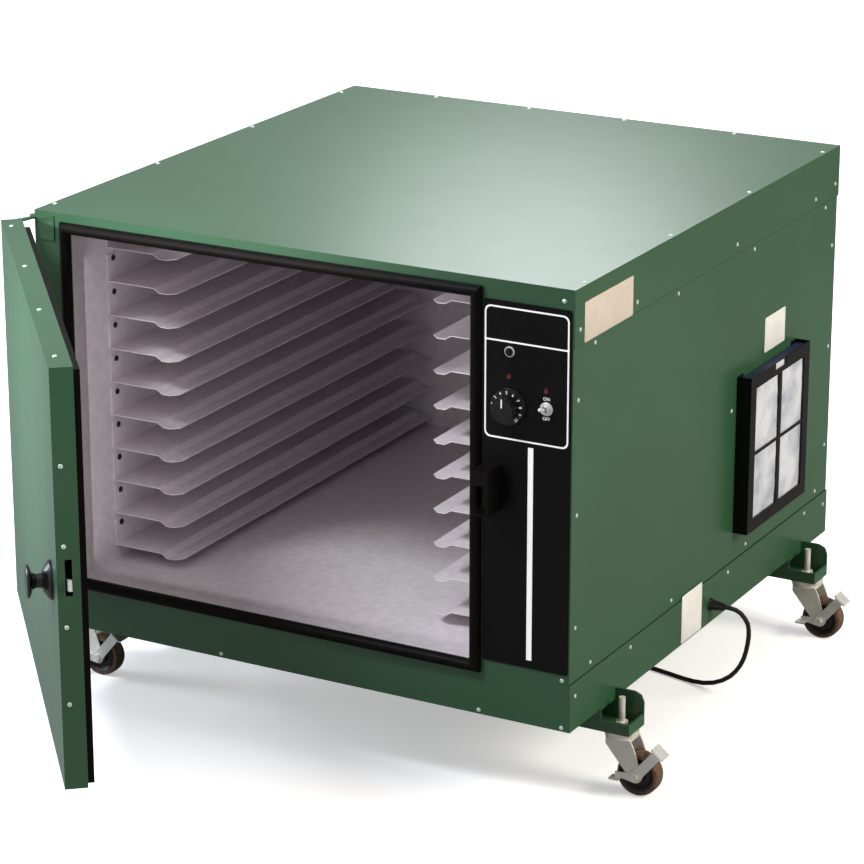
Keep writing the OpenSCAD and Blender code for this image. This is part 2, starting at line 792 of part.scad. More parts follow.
module cord_gland() color(black_colour) in_case() translate([case_w, gland_y, gland_z])
    rotate([0, 90, 0]) {
        body_r = gland_bore_r - seat_gap;
        rib_pitch = (gland_len - gland_flange_t) / (gland_rib_n + 1);
        translate([0, 0, -gland_in]) cylinder(h = gland_in, r = body_r, $fn = 32);
        translate([0, 0, -gland_in]) cylinder(h = gland_in - sheet * 2, r = gland_flange_r,
            $fn = 6);
        cylinder(h = gland_flange_t, r1 = gland_flange_r,
            r2 = gland_flange_r - gland_flange_t / 4, $fn = 32);
        translate([0, 0, gland_flange_t]) cylinder(h = gland_len - gland_flange_t,
            r1 = body_r, r2 = gland_tip_r, $fn = 32);
        for (i = [1 : gland_rib_n]) translate([0, 0, gland_flange_t + i * rib_pitch])
            cylinder(h = rib_pitch / 2, r = body_r + gland_rib
                - (body_r - gland_tip_r) * (i + 1) / (gland_rib_n + 1), $fn = 32);
    }

// Free stretch of the lead: its middle, from the gland's tip to the coil. x and y are
// from the case's front left corner, z from the lead's underside on the floor
ROUTE = [[888, 465, 152.5], [896, 465, 152.5], [905, 466, 151], [913, 467, 146.5],
    [919, 468, 139.5], [923, 470, 131], [924, 472, 121], [923, 475, 109], [920, 479, 95],
    [916, 483, 81], [911, 487, 67], [904, 491, 53], [895, 495, 40], [884, 499, 28],
    [870, 503, 17.5], [854, 507, 9], [836, 511, 3.5], [817, 515, 1], [797, 520, 0],
    [773, 526, 0], [747, 532, 0], [720, 537, 0], [691, 540, 0.5], [662, 541, 1.5],
    [640, 541, 1.5]];
route_sides = 10;
coil_sides = 6;

function unit(v) = v / norm(v);

function tangent(p, i) = unit(p[min(i + 1, len(p) - 1)] - p[max(i - 1, 0)]);

// A ring of n points round p, square to t. flat is a direction that t never follows
function ring(p, t, flat, r, n) = let (u = unit(cross(t, flat)), v = cross(u, t))
    [for (k = [0 : n - 1]) p + r * (cos(k * 360 / n) * u + sin(k * 360 / n) * v)];

// One closed tube through the points p, its faces all triangles
module tube(p, flat, r, n) {
    m = len(p);
    points = [for (i = [0 : m - 1]) each ring(p[i], tangent(p, i), flat, r, n)];
    walls = [for (i = [0 : m - 2], k = [0 : n - 1]) let (a = i * n + k,
        b = i * n + (k + 1) % n) each [[a, b, b + n], [a, b + n, a + n]]];
    starts = [for (k = [1 : n - 2]) [0, k + 1, k]];
    ends = [for (k = [1 : n - 2]) [(m - 1) * n, (m - 1) * n + k, (m - 1) * n + k + 1]];
    polyhedron(points = points, faces = concat(walls, starts, ends), convexity = 10);
}

lead_z = cord_d / 2;
lead_points = [for (p = ROUTE) p + [0, 0, lead_z]];
lead_end = lead_points[len(lead_points) - 1];

module power_cord() color(black_colour) in_case() tube(lead_points, [0, 1, 0], cord_d / 2,
    route_sides);

// Coil: half of its loops spiral in on the floor, half spiral out again on top of them,
// and the lead climbs in the half turn where the spiral reverses
coil_turns = 6;
coil_steps = 24;
coil_gap = 0.6;
coil_pitch = cord_d + coil_gap;
coil_mid_r = cord_d * 5.5;
coil_in_r = coil_mid_r - coil_pitch * coil_turns / 4;
coil_out_r = coil_mid_r + coil_pitch * coil_turns / 4;
coil_tail = cord_d * 3.5;
coil_centre = lead_end + [-cord_d, coil_out_r, 0];

function climb(t) = let (s = max(0, min(1, (t - coil_turns / 2) * 2 + 0.5)))
    s * s * (3 - 2 * s);

function coil_point(t) = let (r = coil_in_r + abs(t - coil_turns / 2) * coil_pitch)
    coil_centre + [-r * sin(360 * t), -r * cos(360 * t), coil_pitch * climb(t)];

coil_loops = [for (i = [0 : coil_turns * coil_steps]) coil_point(i / coil_steps)];
coil_end = coil_loops[len(coil_loops) - 1];
coil_points = concat([lead_end], coil_loops,
    [for (i = [1 : 3]) coil_end - [i * coil_tail / 3, 0, 0]]);
coil_least_gap = min([for (i = [0 : len(coil_points) - 1],
    j = [i + coil_steps / 2 : len(coil_points) - 1])
    norm(coil_points[i] - coil_points[j])]) - cord_d;

module cord_coil() color(black_colour) in_case() {
    echo("least gap of the coil's tube to itself, mm", coil_least_gap);
    tube(coil_points, [0, 0, 1], cord_d / 2, coil_sides);
}

tie_w = 10;
tie_t = 1.2;
tie_clear = 1;

// Tie: a flat strap round all the loops, on the coil's far side from its ends
module cord_tie() color(black_colour) in_case() translate([coil_centre[0], coil_centre[1]]) {
    y0 = coil_in_r + coil_pitch / 2 - cord_d / 2 - tie_clear;
    y1 = coil_out_r - coil_pitch / 2 + cord_d / 2 + tie_clear;
    z1 = coil_end[2] + cord_d / 2 + seat_gap;
    difference() {
        block([-tie_w / 2, y0 - tie_t, 0], [tie_w / 2, y1 + tie_t, z1 + tie_t]);
        block([-tie_w / 2 - over, y0, tie_t], [tie_w / 2 + over, y1, z1]);
    }
}

plug_w = 32;
plug_l = 38;
plug_r = 6;
plug_relief = 30;
plug_relief_wall = 1;
blade_out = 17;
blade_h = 6.35;
blade_w = 1.5;
blade_gap = 12.7;
earth_r = 2.4;
earth_out = 20;
earth_drop = 11.9;

// Plug: a tapered relief, a moulded body that lies on the floor, two blades and a pin
module power_plug() color(black_colour) in_case()
    translate([coil_end[0] - coil_tail, coil_end[1], coil_end[2]]) {
        body_h = coil_end[2] * 2;
        face_x = -plug_relief - plug_l;
        translate([-plug_relief - plug_r, 0, 0]) rotate([0, 90, 0])
            cylinder(h = plug_relief + plug_r, r1 = cord_d,
            r2 = cord_d / 2 + plug_relief_wall, $fn = 24);
        along_x(face_x, -plug_relief) offset(r = plug_r, $fn = 24)
            square([plug_w - plug_r * 2, body_h - plug_r * 2], center = true);
        for (side = [-1, 1]) block([face_x - blade_out, side * blade_gap / 2 - blade_w / 2,
            earth_drop / 2 - blade_h / 2],
            [face_x + plug_r, side * blade_gap / 2 + blade_w / 2,
            earth_drop / 2 + blade_h / 2]);
        rod_x(0, -earth_drop / 2, face_x - earth_out, face_x + plug_r, earth_r);
    }

// Hinges: a leaf and lug on the case with a pin, and an arm in the door that turns on it
pin_r = 2.5;
lug_r = 4.2;
lug_t = 3;
arm_t = 3;
leaf_x0 = 6;
leaf_w = 28;
leaf_t = 2;
leaf_h = 36;
arm_top_z = door_z1 - door_sheet - arm_t;
arm_low_z = door_z0 + door_sheet;

// The case's half of a hinge. The lug lies at z, the leaf and the pin run towards dir
module hinge_bracket(z, dir) {
    leaf_z0 = dir > 0 ? z : z + lug_t - leaf_h;
    pin_z0 = dir > 0 ? z : z - seat_gap - arm_t;
    block([leaf_x0, -leaf_t, leaf_z0], [leaf_x0 + leaf_w, 0, leaf_z0 + leaf_h]);
    translate([0, 0, z]) linear_extrude(lug_t) {
        translate([pivot_x, pivot_y]) circle(r = lug_r, $fn = 24);
        polygon([[pivot_x, pivot_y - lug_r], [leaf_x0 + leaf_w / 2, pivot_y - lug_r / 2],
            [leaf_x0 + leaf_w, -leaf_t], [leaf_x0 + leaf_w, 0], [leaf_x0, 0],
            [leaf_x0, pivot_y + lug_r], [pivot_x, pivot_y + lug_r]]);
    }
    translate([pivot_x, pivot_y, pin_z0])
        cylinder(h = lug_t + seat_gap + arm_t, r = pin_r, $fn = 24);
}

module hinge_brackets() color(front_colour) in_case() {
    hinge_bracket(arm_top_z + arm_t + seat_gap, -1);
    hinge_bracket(arm_low_z - seat_gap - lug_t, 1);
}

module on_door() in_case() translate([pivot_x, pivot_y, 0]) rotate([0, 0, -door_open])
    translate([-pivot_x, -pivot_y, 0]) children();

arm_neck = 6.4;
arm_reach = 40;
arm_pad_w = 16;
arm_slot_clear = 1;

// Outline of a hinge arm: an eye at the pivot, a neck, and a pad inside the door
module arm_outline(grow) {
    pad_y = -door_gap - door_t / 2 - arm_pad_w / 2;
    translate([pivot_x, pivot_y]) circle(r = lug_r + grow, $fn = 24);
    offset(delta = grow) polygon([[pivot_x - arm_neck / 3, pivot_y - arm_neck / 3],
        [pivot_x + arm_neck / 3, pivot_y + arm_neck / 3],
        [door_edge + door_sheet + arm_neck, pad_y + arm_pad_w],
        [door_edge + arm_reach, pad_y + arm_pad_w], [door_edge + arm_reach, pad_y],
        [door_edge + door_sheet, pad_y]]);
}

module hinge_arms() color(front_colour) on_door() for (z = [arm_top_z, arm_low_z])
    translate([0, 0, z]) linear_extrude(arm_t) difference() {
        arm_outline(0);
        translate([pivot_x, pivot_y]) circle(r = pin_r + run_gap, $fn = 24);
    }

// Door: an outer pan with folded edges and an inner panel that closes it
slot_rise = 6;
slot_z0 = knob_z + slot_rise;
slot_h = 49;
slot_t = 9;

module door_shell() color(front_colour) on_door() difference() {
    block([door_edge, door_y0, door_z0], [door_x1, -door_gap, door_z1]);
    block([door_edge + door_sheet, door_y0 + door_sheet, door_z0 + door_sheet],
        [door_x1 - door_sheet, over, door_z1 - door_sheet]);
    block([door_x1 - over, latch_y - latch_t / 2 - slot_t / 2, slot_z0],
        [door_x1 + over, latch_y - latch_t / 2 + slot_t / 2, slot_z0 + slot_h]);
    rod_y(knob_x, knob_z, door_y0 - over, door_y0 + over, spindle_r + seat_gap);
    for (z = [arm_top_z, arm_low_z]) translate([0, 0, z]) linear_extrude(arm_t)
        arm_outline(arm_slot_clear);
}

module door_inner_panel() color(liner_colour) on_door() difference() {
    block([door_edge + door_sheet, -door_gap - door_sheet, door_z0 + door_sheet],
        [door_x1 - door_sheet, -door_gap, door_z1 - door_sheet]);
    for (z = [arm_top_z, arm_low_z]) translate([0, 0, z - over / 2])
        linear_extrude(arm_t + over) arm_outline(arm_slot_clear);
}

seal_margin = 1;
seal_w = gasket_w + seal_margin * 2;
seal_inset = 2;
seal_clear = 0.6;
seal_t = door_gap - gasket_proud - seal_clear;

// Seal on the door, opposite the gasket
module door_seal() color(rubber_colour) on_door() {
    x0 = open_x0 - gasket_w - seal_inset / 2;
    x1 = min(open_x1 + gasket_w, door_x1 - seal_inset);
    z0 = max(open_z0 - gasket_w, door_z0 + seal_inset);
    z1 = min(open_z1 + gasket_w, door_z1 - seal_inset);
    difference() {
        block([x0, -door_gap, z0], [x1, -door_gap + seal_t, z1]);
        block([x0 + seal_w, -door_gap - over, z0 + seal_w],
            [x1 - seal_w, over, z1 - seal_w]);
    }
}

// Rose and knob, turned about the spindle, drawn from the door's face outwards
rose_h = 12;
knob_len = 33;
knob_neck_r = 10;
disc_t = 5;

module about_spindle(out) translate([knob_x, door_y0 - out, knob_z]) rotate([90, 0, 0])
    children();

module knob_rose() color(black_colour) on_door() about_spindle(0)
    rotate_extrude($fn = 40) polygon([[spindle_r + seat_gap, 0], [rose_d / 2, 0],
        [rose_d / 2, rose_h / 4], [rose_d / 2 - rose_h / 4, rose_h / 2],
        [rose_d / 2 - rose_h * 0.8, rose_h * 0.85], [knob_neck_r + rose_h / 4, rose_h],
        [spindle_r + seat_gap, rose_h]]);

spindle_end = 2;
spindle_in = door_t / 2 + latch_t / 2 + spindle_end;

module door_knob() color(black_colour) on_door() {
    about_spindle(0) rotate_extrude($fn = 40) polygon([[0, -spindle_in],
        [spindle_r, -spindle_in], [spindle_r, rose_h + seat_gap],
        [knob_neck_r, rose_h + seat_gap], [knob_neck_r * 0.9, knob_len * 0.6],
        [knob_neck_r * 1.1, knob_len - disc_t * 1.6], [knob_d / 2 - disc_t / 2,
        knob_len - disc_t], [knob_d / 2, knob_len - disc_t * 0.7],
        [knob_d / 2, knob_len - disc_t * 0.3], [knob_d / 2 - disc_t / 2, knob_len],
        [0, knob_len - disc_t * 0.3]]);
}

latch_boss_r = 12;
latch_len = knob_backset + latch_out;

// Latch arm: a steel bar on the spindle that comes out of the slot in the door's edge
module latch_arm() color(steel_colour) on_door()
    translate([knob_x, latch_y, knob_z]) rotate([90, -latch_angle, 0])
    linear_extrude(latch_t) difference() {
        union() {
            circle(r = latch_boss_r, $fn = 32);
            translate([0, -latch_h / 2]) square([latch_len, latch_h]);
        }
        circle(r = spindle_r + run_gap, $fn = 32);
    }

// Caster brackets: open trays welded under the case, with a tall wall behind the stem
bracket_t = 3;
bracket_w = 50;
bracket_out = 44;
bracket_in = 60;
bracket_lip = 17;
bracket_wall = 15;
bracket_corner = 14;

// One bracket at the right side, drawn from the stem: +x is outwards, z from the floor
module bracket() {
    x0 = -stem_out - bracket_in;
    x1 = bracket_out - stem_out;
    side = -stem_out;
    y0 = -bracket_w / 2;
    y1 = bracket_w / 2;
    lip_z = caster_h + bracket_lip;
    difference() {
        block([x0, y0, caster_h], [x1, y1, caster_h + bracket_t]);
        translate([0, 0, caster_h - over]) cylinder(h = bracket_t + over * 2,
            r = stud_r + seat_gap, $fn = 24);
    }
    along_y(y0, y0 + bracket_t) polygon([[x0, caster_h], [x1, caster_h], [x1, lip_z],
        [side + seat_gap, lip_z], [side, lift], [x0, lift]]);
    block([x1 - bracket_t, y0, caster_h], [x1, y1, lip_z]);
    along_y(y1 - bracket_t, y1) polygon([[x0, caster_h], [x1, caster_h],
        [x1, lift + bracket_wall - bracket_corner],
        [x1 - bracket_corner * 0.3, lift + bracket_wall - bracket_corner * 0.3],
        [x1 - bracket_corner, lift + bracket_wall], [side + seat_gap, lift + bracket_wall],
        [side + seat_gap, lift], [x0, lift]]);
    block([x0, y0, lift - bracket_t], [side, y1, lift]);
}

// Puts what is drawn for the right front caster at every corner, the left ones mirrored
module at_stems() in_case() for (c = CASTERS) translate([c[0], c[1], 0])
    mirror([c[0] < 0 ? 1 : 0, 0, 0]) children();

module caster_brackets() color(shell_colour) at_stems() bracket();

stud_r = 4.75;
stud_rise = 13;
stud_top = lift + stud_rise;
nut_w = 17;
nut_h = 8;
kingpin_head_r = 8.5;
kingpin_head_h = 3;

// Stem: threaded stud, nut, upper race and the kingpin that the fork hangs on
module caster_studs() color(steel_colour) at_stems() {
    cylinder_z(caster_h - race_h / 2, stud_top, stud_r);
    translate([0, 0, caster_h + bracket_t]) cylinder(h = nut_h, d = nut_w / cos(30),
        $fn = 6);
    cylinder_z(caster_h - race_h, caster_h, race_r);
    head_z1 = crown_z0 - leg_t - seat_gap;
    cylinder_z(head_z1 - kingpin_head_h / 2, caster_h - race_h / 2, kingpin_r);
    cylinder_z(head_z1 - kingpin_head_h, head_z1, kingpin_head_r);
}

module cylinder_z(z0, z1, r) translate([0, 0, z0]) cylinder(h = z1 - z0, r = r, $fn = 32);

crown_x0 = -17;
crown_x1 = 21;
eye_r = 10;
bolt_head_r = 6.5;
bolt_head_h = 4;

// A fork leg's outline: from the crown it narrows to the axle's eye
module leg_outline() difference() {
    union() {
        translate([caster_trail, axle_z]) circle(r = eye_r, $fn = 32);
        polygon([[crown_x0, crown_z0], [crown_x0, crown_z0 - race_h * 2],
            [caster_trail - eye_r * 0.93, axle_z - eye_r * 0.37],
            [caster_trail + eye_r * 0.97, axle_z + eye_r * 0.24],
            [crown_x1 + race_h, crown_z0 - race_h * 2], [crown_x1, crown_z0]]);
    }
    translate([caster_trail, axle_z]) circle(r = axle_r + run_gap, $fn = 32);
}

// Fork: lower race, crown, two legs, and the axle bolt with its head and nut
module caster_fork() color(steel_colour) {
    difference() {
        union() {
            cylinder_z(crown_z0, crown_z1, crown_r);
            cylinder_z(crown_z0 - leg_t, crown_z1, fork_y);
            block([crown_x0, -fork_y - leg_t, crown_z0 - leg_t], [crown_x1, fork_y + leg_t,
                crown_z0]);
        }
        cylinder_z(crown_z0 - leg_t - over, crown_z1 + over, kingpin_r + run_gap);
    }
    along_y(-fork_y - leg_t, -fork_y) leg_outline();
    along_y(fork_y, fork_y + leg_t) leg_outline();
    rod_y(caster_trail, axle_z, lever_y0 - seat_gap, fork_y + leg_t, axle_r);
    rod_y(caster_trail, axle_z, lever_y0 - seat_gap - bolt_head_h, lever_y0 - seat_gap,
        bolt_head_r, 6);
    rod_y(caster_trail, axle_z, fork_y + leg_t / 2, fork_y + leg_t + bolt_head_h,
        bolt_head_r, 6);
}

hub_half = wheel_w / 2 + leg_gap - seat_gap;
wheel_hub_r = 11;
tread_t = 9;
web_inset = 5;
rim_r = wheel_d / 2 - tread_t;
web_half = wheel_w / 2 - web_inset;
tread_round = 3;

// Wheel: hub, recessed web and a tyre with rounded shoulders
module caster_wheel() color(rubber_colour) translate([caster_trail, 0, axle_z])
    rotate([90, 0, 0]) rotate_extrude($fn = 48) {
        r = wheel_d / 2;
        h = wheel_w / 2;
        polygon([[axle_r + run_gap, -hub_half], [wheel_hub_r, -hub_half],
            [wheel_hub_r + tread_round, -web_half], [rim_r - tread_round, -web_half],
            [rim_r, -h], [r - tread_round, -h], [r - tread_round * 0.3, -h + tread_round * 0.3],
            [r, -h + tread_round], [r, h - tread_round],
            [r - tread_round * 0.3, h - tread_round * 0.3], [r - tread_round, h], [rim_r, h],
            [rim_r - tread_round, web_half], [wheel_hub_r + tread_round, web_half],
            [wheel_hub_r, hub_half], [axle_r + run_gap, hub_half]]);
    }

lever_y1 = -fork_y - leg_t - seat_gap;
lever_y0 = lever_y1 - lever_t;
lever_eye_r = 9;
toe_len = 34;
toe_w = 15;
toe_out = 14;

// Brake lever: a stamped arm on the axle bolt with a toe tab and a pedal over the tread
module brake_lever() color(steel_colour) translate([caster_trail, 0, axle_z]) {
    along_y(lever_y0, lever_y1) difference() {
        union() {
            circle(r = lever_eye_r, $fn = 32);
            polygon([[toe_w / 4 - toe_len, -lever_eye_r * 0.4], [0, -lever_eye_r],
                [0, lever_eye_r / 2], [toe_w / 4 - toe_len, lever_eye_r / 3]]);
            rotate(pedal_angle) polygon([[0, -lever_eye_r * 0.9],
                [pedal_r + lever_t / 2, -pedal_w / 3], [pedal_r + lever_t / 2, pedal_w / 3],
                [0, lever_eye_r * 0.8]]);
        }
        circle(r = axle_r + run_gap, $fn = 32);
    }
    block([-toe_len, lever_y0 - toe_out, -lever_eye_r / 2],
        [-toe_len + toe_w, lever_y0 + lever_t / 2, -lever_eye_r / 2 + lever_t]);
    rotate([0, -pedal_angle, 0]) block([pedal_r, lever_y0 + lever_t / 2, -pedal_w / 2],
        [pedal_r + lever_t, lever_y1 + pedal_in, pedal_w / 2]);
}

module at_stem(i) in_case() translate([CASTERS[i][0], CASTERS[i][1], 0]) children();

module caster_fork_1() at_stem(0) caster_fork();
module caster_fork_2() at_stem(1) caster_fork();
module caster_fork_3() at_stem(2) caster_fork();
module caster_fork_4() at_stem(3) caster_fork();
module caster_wheel_1() at_stem(0) caster_wheel();
module caster_wheel_2() at_stem(1) caster_wheel();
module caster_wheel_3() at_stem(2) caster_wheel();
module caster_wheel_4() at_stem(3) caster_wheel();
module brake_lever_1() at_stem(0) brake_lever();
module brake_lever_2() at_stem(1) brake_lever();
module brake_lever_3() at_stem(2) brake_lever();
module brake_lever_4() at_stem(3) brake_lever();

top_cover();
left_side_panel();
right_side_panel();
back_panel();
base_pan();
hinge_stile();
front_header();
front_sill();
control_stile();
liner_left();
liner_right();
liner_back();
liner_top();
liner_floor();
door_gasket();
left_runners();
right_runners();
control_plate();
dial_knob();
thermostat_body();
toggle_body();
toggle_lever();
breaker_body();
breaker_button();
indicator_lamps();
strike_keeper();
fan_housing();
fan_motor();
fan_wheel();
heater();
filter_frame();
air_filter();
cord_gland();
power_cord();
cord_coil();
cord_tie();
power_plug();
hinge_brackets();
door_shell();
door_inner_panel();
door_seal();
hinge_arms();
door_knob();
knob_rose();
latch_arm();
caster_brackets();
caster_studs();
caster_fork_1();
caster_fork_2();
caster_fork_3();
caster_fork_4();
caster_wheel_1();
caster_wheel_2();
caster_wheel_3();
caster_wheel_4();
brake_lever_1();
brake_lever_2();
brake_lever_3();
brake_lever_4();
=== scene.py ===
"""Looks for a steel drying cabinet on casters: enamel, rubber, zinc, printed control plate,
rivets, filter fleece and mains lead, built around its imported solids. Metres, floor at z = 0."""

import json
import math

import bmesh
import bpy
from mathutils import Matrix, Vector


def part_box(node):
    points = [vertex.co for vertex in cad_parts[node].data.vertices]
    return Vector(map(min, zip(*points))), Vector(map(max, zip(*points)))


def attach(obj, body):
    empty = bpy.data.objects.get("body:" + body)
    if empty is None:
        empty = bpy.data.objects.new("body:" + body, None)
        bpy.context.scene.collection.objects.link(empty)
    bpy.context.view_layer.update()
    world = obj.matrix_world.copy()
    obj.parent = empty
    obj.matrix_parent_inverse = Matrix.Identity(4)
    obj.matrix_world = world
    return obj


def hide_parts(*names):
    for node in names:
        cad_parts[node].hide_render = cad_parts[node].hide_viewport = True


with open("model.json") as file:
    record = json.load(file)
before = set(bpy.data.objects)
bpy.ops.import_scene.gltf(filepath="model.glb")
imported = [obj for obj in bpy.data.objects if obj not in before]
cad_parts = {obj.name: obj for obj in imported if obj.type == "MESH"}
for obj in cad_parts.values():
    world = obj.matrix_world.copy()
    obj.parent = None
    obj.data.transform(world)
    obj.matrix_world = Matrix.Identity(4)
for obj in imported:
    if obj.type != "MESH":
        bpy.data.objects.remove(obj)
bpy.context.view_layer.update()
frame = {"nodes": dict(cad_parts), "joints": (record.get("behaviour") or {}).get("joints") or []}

bl_info = {
    "name": "Drying cabinet looks",
    "version": (1, 0, 0),
    "blender": (4, 5, 0),
    "location": "3D View > Sidebar > Cabinet",
    "description": "Materials, trim and stage for a braked drying cabinet",
    "category": "Object",
}

MM = 0.001
JOINTS = {j["name"]: j for j in frame["joints"]}
COVER_LO, COVER_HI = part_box("top_cover")
PAN_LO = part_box("base_pan")[0]
LIFT = PAN_LO.z / MM
CASE_W = (COVER_HI.x - COVER_LO.x) / MM
CASE_D = (COVER_HI.y - COVER_LO.y) / MM
CASE_H = (COVER_HI.z - PAN_LO.z) / MM
SHEET = 1.5  # the case's steel, and how far the walls stand in from the cover and the pan
SKIRT_LOW = CASE_H - 79  # lower edge of the cover's skirt
PAN_TOP = 70  # upper edge of the pan's flange


def srgb(code):
    """Linear RGBA from an sRGB hex code such as #2F6549."""
    parts = [int(code[i:i + 2], 16) / 255 for i in (1, 3, 5)]
    linear = (p / 12.92 if p <= 0.04045 else ((p + 0.055) / 1.055) ** 2.4 for p in parts)
    return (*linear, 1.0)


def case_point(x, y, z):
    """A point given in mm from the case's front left bottom corner, in the frame's metres."""
    return Vector((COVER_LO.x + x * MM, COVER_LO.y + y * MM, (LIFT + z) * MM))


def floor_point(x, y, z):
    """As case_point, with the height from the floor."""
    return Vector((COVER_LO.x + x * MM, COVER_LO.y + y * MM, z * MM))


# Door: its pivot, how far it stands open, and its sizes in mm when shut
PIVOT = Vector(JOINTS["door_hinge"]["pos_m"])
DOOR_ANGLE = math.radians(-JOINTS["door_hinge"]["range_deg"][0])
DOOR_TURN = (Matrix.Translation(PIVOT) @ Matrix.Rotation(-DOOR_ANGLE, 4, "Z")
             @ Matrix.Translation(-PIVOT))
DOOR_EDGE, DOOR_W, DOOR_T, DOOR_GAP = 14.5, 714, 30, 21
DOOR_FACE = -DOOR_GAP - DOOR_T
DOOR_LOW = (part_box("door_shell")[0].z / MM) - LIFT
DOOR_TOP = (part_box("door_shell")[1].z / MM) - LIFT


class CabinetSizes(bpy.types.PropertyGroup):
    """Sizes of the trim that is added to the cabinet."""
    rivet_width: bpy.props.FloatProperty(
        name="Rivet width", description="Diameter of a pop rivet's head",
        default=6.4 * MM, min=0.003, max=0.012, unit="LENGTH")
    rivet_rise: bpy.props.FloatProperty(
        name="Rivet rise", description="Height of a pop rivet's head",
        default=1.3 * MM, min=0.0005, max=0.003, unit="LENGTH")
    line_width: bpy.props.FloatProperty(
        name="Printed line", description="Width of the white line on the control plate",
        default=2.3 * MM, min=0.0005, max=0.004, unit="LENGTH")
    edge_round: bpy.props.FloatProperty(
        name="Fold radius", description="Outside radius of a fold in the steel sheet",
        default=1.3 * MM, min=0.0002, max=0.004, unit="LENGTH")
    lead_width: bpy.props.FloatProperty(
        name="Lead diameter", description="Diameter of the mains lead",
        default=7.0 * MM, min=0.006, max=0.007, unit="LENGTH")


class CabinetColours(bpy.types.PropertyGroup):
    """Colours that a user would change."""
    enamel: bpy.props.FloatVectorProperty(
        name="Enamel", description="Green enamel of the case and the door", subtype="COLOR",
        size=3, default=srgb("#32593E")[:3], min=0, max=1)
    liner: bpy.props.FloatVectorProperty(
        name="Liner", description="Pale enamel of the liner and the runners", subtype="COLOR",
        size=3, default=srgb("#E0D8DD")[:3], min=0, max=1)
    plate: bpy.props.FloatVectorProperty(
        name="Plate", description="Black enamel of the control plate", subtype="COLOR",
        size=3, default=srgb("#0C0A0B")[:3], min=0, max=1)
    print_white: bpy.props.FloatVectorProperty(
        name="Print", description="Ink of the plate's lines and figures", subtype="COLOR",
        size=3, default=srgb("#FFFFFF")[:3], min=0, max=1)
    backdrop: bpy.props.FloatVectorProperty(
        name="Backdrop", description="Colour of the floor and the backdrop", subtype="COLOR",
        size=3, default=srgb("#FFFFFF")[:3], min=0, max=1)


def sizes():
    return bpy.context.scene.cabinet_sizes


def colours():
    return bpy.context.scene.cabinet_colours


def rgba(colour):
    return tuple(colour) + (1.0,)


# Materials

def add(tree, kind, settings=None, links=None):
    """Adds a node of a kind with its settings, and links its inputs to other nodes' outputs."""
    made = tree.nodes.new(kind)
    for key, value in (settings or {}).items():
        if hasattr(made, key) and not key.startswith("in:"):
            setattr(made, key, value)
        else:
            made.inputs[key.removeprefix("in:")].default_value = value
    for key, source in (links or {}).items():
        tree.links.new(source, made.inputs[key])
    return made


def new_material(name):
    """An empty node material with its Principled shader and output."""
    material = bpy.data.materials.new(name)
    material.use_nodes = True
    tree = material.node_tree
    tree.nodes.clear()
    shader = add(tree, "ShaderNodeBsdfPrincipled")
    add(tree, "ShaderNodeOutputMaterial", links={"Surface": shader.outputs["BSDF"]})
    place = add(tree, "ShaderNodeTexCoord").outputs["Object"]
    return material, tree, shader, place


def shades(tree, source, stops):
    """A colour ramp from a list of (position, rgba)."""
    made = add(tree, "ShaderNodeValToRGB", links={"Fac": source})
    ramp = made.color_ramp
    while len(ramp.elements) < len(stops):
        ramp.elements.new(0.5)
    for element, (where, colour) in zip(ramp.elements, stops):
        element.position = where
        element.color = colour
    return made.outputs["Color"]


def grain(tree, place, size_mm, detail=3.0, roughness=0.5, stretch=(1, 1, 1)):
    """Noise whose features are about size_mm across, optionally stretched along an axis."""
    mapping = add(tree, "ShaderNodeMapping", {"in:Scale": stretch}, {"Vector": place})
    return add(tree, "ShaderNodeTexNoise", {
        "in:Scale": 1 / (size_mm * MM), "in:Detail": detail, "in:Roughness": roughness,
    }, {"Vector": mapping.outputs["Vector"]}).outputs["Fac"]


def relief(tree, shader, height, depth_mm, strength=1.0):
    """Bumps the shader's surface by a height of depth_mm."""
    bump = add(tree, "ShaderNodeBump", {
        "in:Strength": strength, "in:Distance": depth_mm * MM}, {"Height": height})
    tree.links.new(bump.outputs["Normal"], shader.inputs["Normal"])


def tone(colour, factor):
    return tuple(min(1.0, c * factor) for c in colour[:3]) + (1.0,)


def between(tree, source, low, high):
    """Maps a 0 to 1 value to low to high."""
    return add(tree, "ShaderNodeMapRange", {"in:To Min": low, "in:To Max": high},
               {"Value": source}).outputs["Result"]


def baked_enamel(name, colour, roughness=0.34):
    """Baked enamel sprayed on steel sheet: an even deep colour with a soft gloss, the faint
    dimpled skin of sprayed paint, and slow clouds where the coat is thicker."""
    material, tree, shader, place = new_material(name)
    clouds = grain(tree, place, 260, detail=2)
    colour_out = shades(tree, clouds, [(0.3, tone(colour, 0.93)), (0.7, tone(colour, 1.06))])
    tree.links.new(colour_out, shader.inputs["Base Color"])
    smears = grain(tree, place, 70, detail=4)
    tree.links.new(between(tree, smears, roughness - 0.02, roughness + 0.04),
                   shader.inputs["Roughness"])
    # Sprayed skin is about 1.5 mm across on the real sheet, drawn at 3 mm so that it shows
    relief(tree, shader, grain(tree, place, 3, detail=1), 0.03, 0.5)
    shader.inputs["IOR"].default_value = 1.5
    shader.inputs["Coat Weight"].default_value = 0.12
    shader.inputs["Coat Roughness"].default_value = 0.24
    return material


